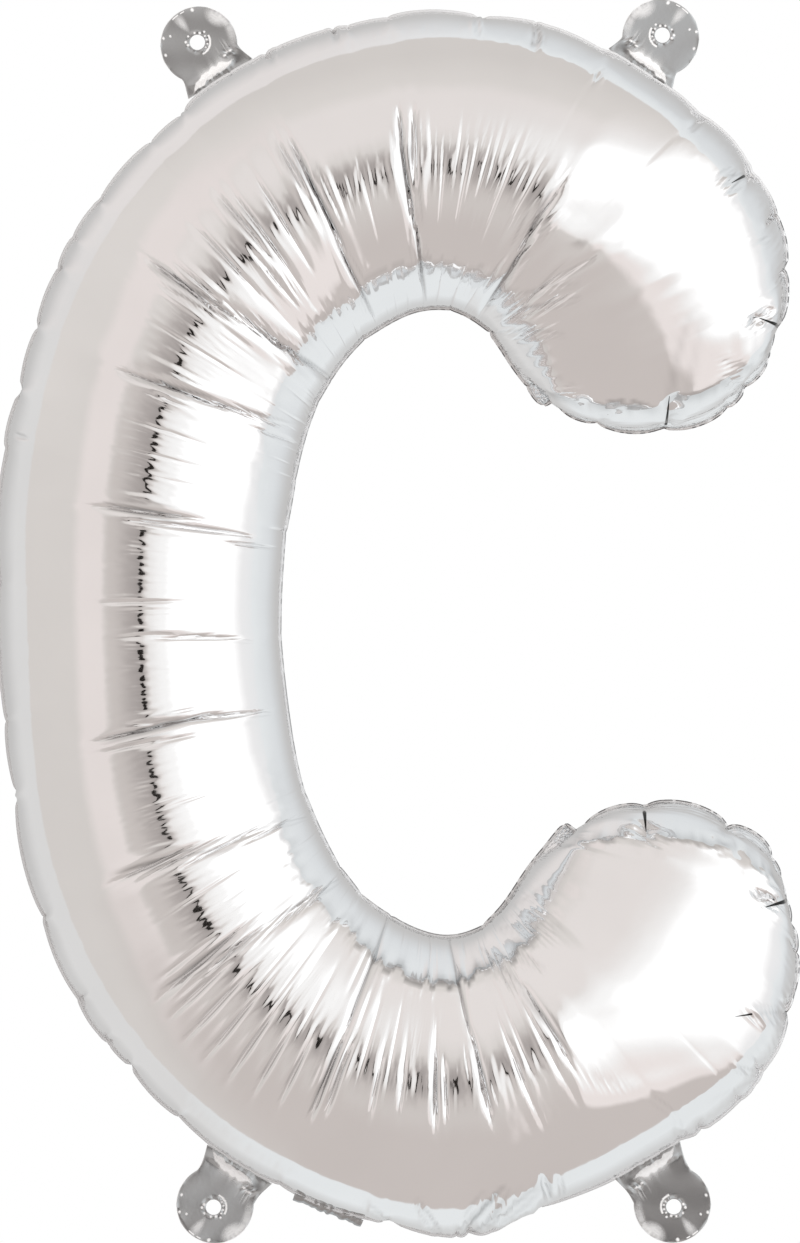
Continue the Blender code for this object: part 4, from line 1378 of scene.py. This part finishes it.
def build_studio_light(world, panel_strength):
    """A soft studio round the letter: warm grey walls, a grey floor side, one large white panel at the
    right of the camera, and a pale backdrop. Each zone is placed by the tilt of foil that mirrors it."""
    world.use_nodes = True
    world.node_tree.nodes.clear()
    nodes = Nodes(world.node_tree)
    number = nodes.number
    vector = nodes.vector
    paint = nodes.paint

    def rise(value, start, stop):
        return nodes.span(value, start, stop, steps="SMOOTHSTEP")

    def fall(value, start, stop):
        return number("SUBTRACT", 1.0, rise(value, start, stop))

    def both(*masks):
        result = masks[0]
        for mask in masks[1:]:
            result = number("MULTIPLY", result, mask)
        return result

    def lean(value, other, share):
        return number("ADD", value, number("MULTIPLY", other, share))

    direction = vector("NORMALIZE", nodes.add("ShaderNodeTexCoord").outputs["Generated"])
    half = vector("NORMALIZE", vector("ADD", direction, (0, -1.0001, 0)))
    split = nodes.add("ShaderNodeSeparateXYZ", {0: half}).outputs
    right = split["X"]
    up = split["Z"]
    tilt = number("SQRT", number("ADD", number("MULTIPLY", right, right), number("MULTIPLY", up, up)))
    below = lean(up, right, -0.5)
    slant = lean(up, right, 0.5)
    middle = fall(right, 0.0, 0.03)
    far = paint(rise(right, 0.6, 0.8), screen_colour(238, 237, 237), screen_colour(229, 231, 232))
    colour = paint(rise(up, -0.1, 0.3), screen_colour(211, 206, 202), screen_colour(218, 213, 209))

    # The walls, from the top to the grey floor side, then the shade and the blush beside the panel
    for mask, over in (
            (rise(up, 0.42, 0.65), screen_colour(209, 204, 200)),
            (both(rise(up, 0.08, 0.2), fall(up, 0.36, 0.46), rise(right, -0.28, -0.16)),
             screen_colour(227, 221, 218)),
            (both(rise(right, -0.44, -0.36), fall(right, -0.25, -0.2),
                  fall(number("ABSOLUTE", up), 0.3, 0.5)), screen_colour(227, 219, 216)),
            (both(fall(up, -0.32, -0.05), rise(right, -0.55, -0.25)), screen_colour(199, 191, 187)),
            (both(rise(right, -0.25, -0.18), middle, fall(up, 0.02, 0.12), rise(up, -0.22, -0.1)),
             screen_colour(200, 193, 189)),
            (both(rise(right, -0.19, -0.03), middle, fall(up, 0.03, 0.12), rise(up, -0.12, -0.03)),
             screen_colour(170, 163, 160)),
            (both(rise(lean(right, up, 0.5), 0.0, 0.06), rise(lean(up, right, 0.15), -0.34, -0.27),
                  fall(slant, 0.0, 0.1)), screen_colour(233, 225, 222)),
            (both(rise(right, 0.015, 0.06), fall(below, 0.08, 0.34), rise(slant, -0.08, 0.0)),
             screen_colour(233, 230, 228)),
            (both(rise(right, 0.03, 0.13), fall(below, 0.06, 0.24), rise(slant, -0.12, 0.05)),
             screen_colour(248, 247, 246)),
            (both(rise(right, 0.55, 0.66), rise(slant, -0.1, 0.05)), far),
            (both(rise(right, 0.13, 0.22), fall(right, 0.5, 0.66), rise(slant, -0.04, 0.13),
                  fall(below, 0.02, 0.18)), (panel_strength, panel_strength, panel_strength, 1))):
        colour = paint(mask, colour, over)

    # The backdrop, mirrored by the steep film beside the welds, and its grey edge
    left = paint(rise(up, 0.15, 0.6), screen_colour(217, 216, 215), screen_colour(226, 221, 219))
    bluish = paint(rise(tilt, 0.75, 0.92), screen_colour(229, 232, 233), screen_colour(216, 219, 221))
    under = fall(up, -0.5, -0.2)
    backdrop = paint(rise(right, -0.35, 0.15), left, bluish)
    backdrop = paint(both(under, rise(right, -0.6, -0.3)), backdrop, screen_colour(229, 232, 233))
    edge_grey = number("MAXIMUM", lean(rise(tilt, 0.86, 0.995), under, -0.3), 0.0)
    backdrop = paint(edge_grey, backdrop, screen_colour(192, 191, 190))
    colour = paint(rise(tilt, 0.745, 0.765), colour, backdrop)

    # The small dark figure beside the camera, with its grey halo
    figure = vector("MULTIPLY", vector("ADD", half, (0, 0, 0.02)), (1, 0, 0.33))
    figure = vector("LENGTH", figure)
    colour = paint(both(fall(figure, 0.014, 0.05), 0.35), colour, screen_colour(150, 144, 141))
    colour = paint(fall(figure, 0.0135, 0.016), colour, FIGURE_COLOUR)
    mirrored = nodes.first("ShaderNodeBackground", {"Color": colour})
    seen = nodes.first("ShaderNodeBackground", {"Color": WHITE})
    path = nodes.add("ShaderNodeLightPath").outputs["Is Camera Ray"]
    nodes.add("ShaderNodeOutputWorld",
              {"Surface": nodes.first("ShaderNodeMixShader", {0: path, 1: mirrored, 2: seen})})


class MakeStudio(bpy.types.Operator):
    """Set up the pale floor, the soft light and the camera"""
    bl_idname = "foil_letter.make_studio"
    bl_label = "Make the studio"

    def execute(self, context):
        scene = context.scene
        sizes = scene.foil_studio
        scene.view_settings.view_transform = "Standard"
        scene.world = bpy.data.worlds.new("soft studio")
        build_studio_light(scene.world, sizes.panel_strength)
        line = np.linspace(-sizes.floor_size, sizes.floor_size, FLOOR_CELLS + 1)
        x, y = np.meshgrid(line, line, indexing="xy")
        points = np.stack([x, y, np.full_like(x, -sizes.floor_drop)], axis=-1).reshape(-1, 3)
        floor = new_piece("studio_floor", points, grid_faces(len(line), len(line)),
                          floor_material(sizes.floor_colour))
        floor.visible_glossy = False
        lamp = bpy.data.lights.new("soft key", "AREA")
        lamp.shape = "DISK"
        lamp.size = LAMP_SIZE
        lamp.energy = LAMP_POWER
        key = show("soft key", lamp)
        key.location = LAMP_PLACE
        key.rotation_euler = (Vector(LAMP_AIM) - key.location).to_track_quat("-Z", "Y").to_euler()
        key.visible_glossy = False
        lens = bpy.data.cameras.new("photo camera")
        lens.sensor_fit = "VERTICAL"
        lens.angle = 2 * math.atan(PHOTO_HEIGHT * PIXEL * MM / 2 / sizes.distance)
        lens.clip_end = CAMERA_SEES
        centre = photo_point(PHOTO_WIDTH / 2 - 0.5, PHOTO_HEIGHT / 2)
        camera = show("photo camera", lens)
        camera.location = (centre[0] * MM, -sizes.distance, centre[1] * MM)
        camera.rotation_euler = (math.pi / 2, 0, 0)
        scene.camera = camera
        return {"FINISHED"}


class FoilLetterPanel(bpy.types.Panel):
    """The balloon's pieces and sizes"""
    bl_idname = "VIEW3D_PT_foil_letter"
    bl_label = "Letter Foil Balloon"
    bl_space_type = "VIEW_3D"
    bl_region_type = "UI"
    bl_category = "Foil Letter"

    def draw(self, context):
        layout = self.layout
        for operator, name, group in STEPS:
            layout.operator(operator.bl_idname)
            box = layout.box()
            for size in group.__annotations__:
                box.prop(getattr(context.scene, name), size)


STEPS = (
    (MakeFilm, "foil_film", FilmSizes),
    (MakeBorder, "foil_border", BorderSizes),
    (MakeTabs, "foil_tabs", TabSizes),
    (MakeTail, "foil_tail", TailSizes),
    (MakeStudio, "foil_studio", StudioSizes),
)


def register():
    for operator, name, group in STEPS:
        bpy.utils.register_class(group)
        setattr(bpy.types.Scene, name, bpy.props.PointerProperty(type=group))
        bpy.utils.register_class(operator)
    bpy.utils.register_class(FoilLetterPanel)


def unregister():
    bpy.utils.unregister_class(FoilLetterPanel)
    for operator, name, group in reversed(STEPS):
        bpy.utils.unregister_class(operator)
        delattr(bpy.types.Scene, name)
        bpy.utils.unregister_class(group)


def main():
    register()
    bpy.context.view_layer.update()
    bpy.ops.foil_letter.make_film()
    bpy.ops.foil_letter.make_border()
    bpy.ops.foil_letter.make_tabs()
    bpy.ops.foil_letter.make_tail()
    bpy.ops.foil_letter.make_studio()


if __name__ == "__main__":
    main()
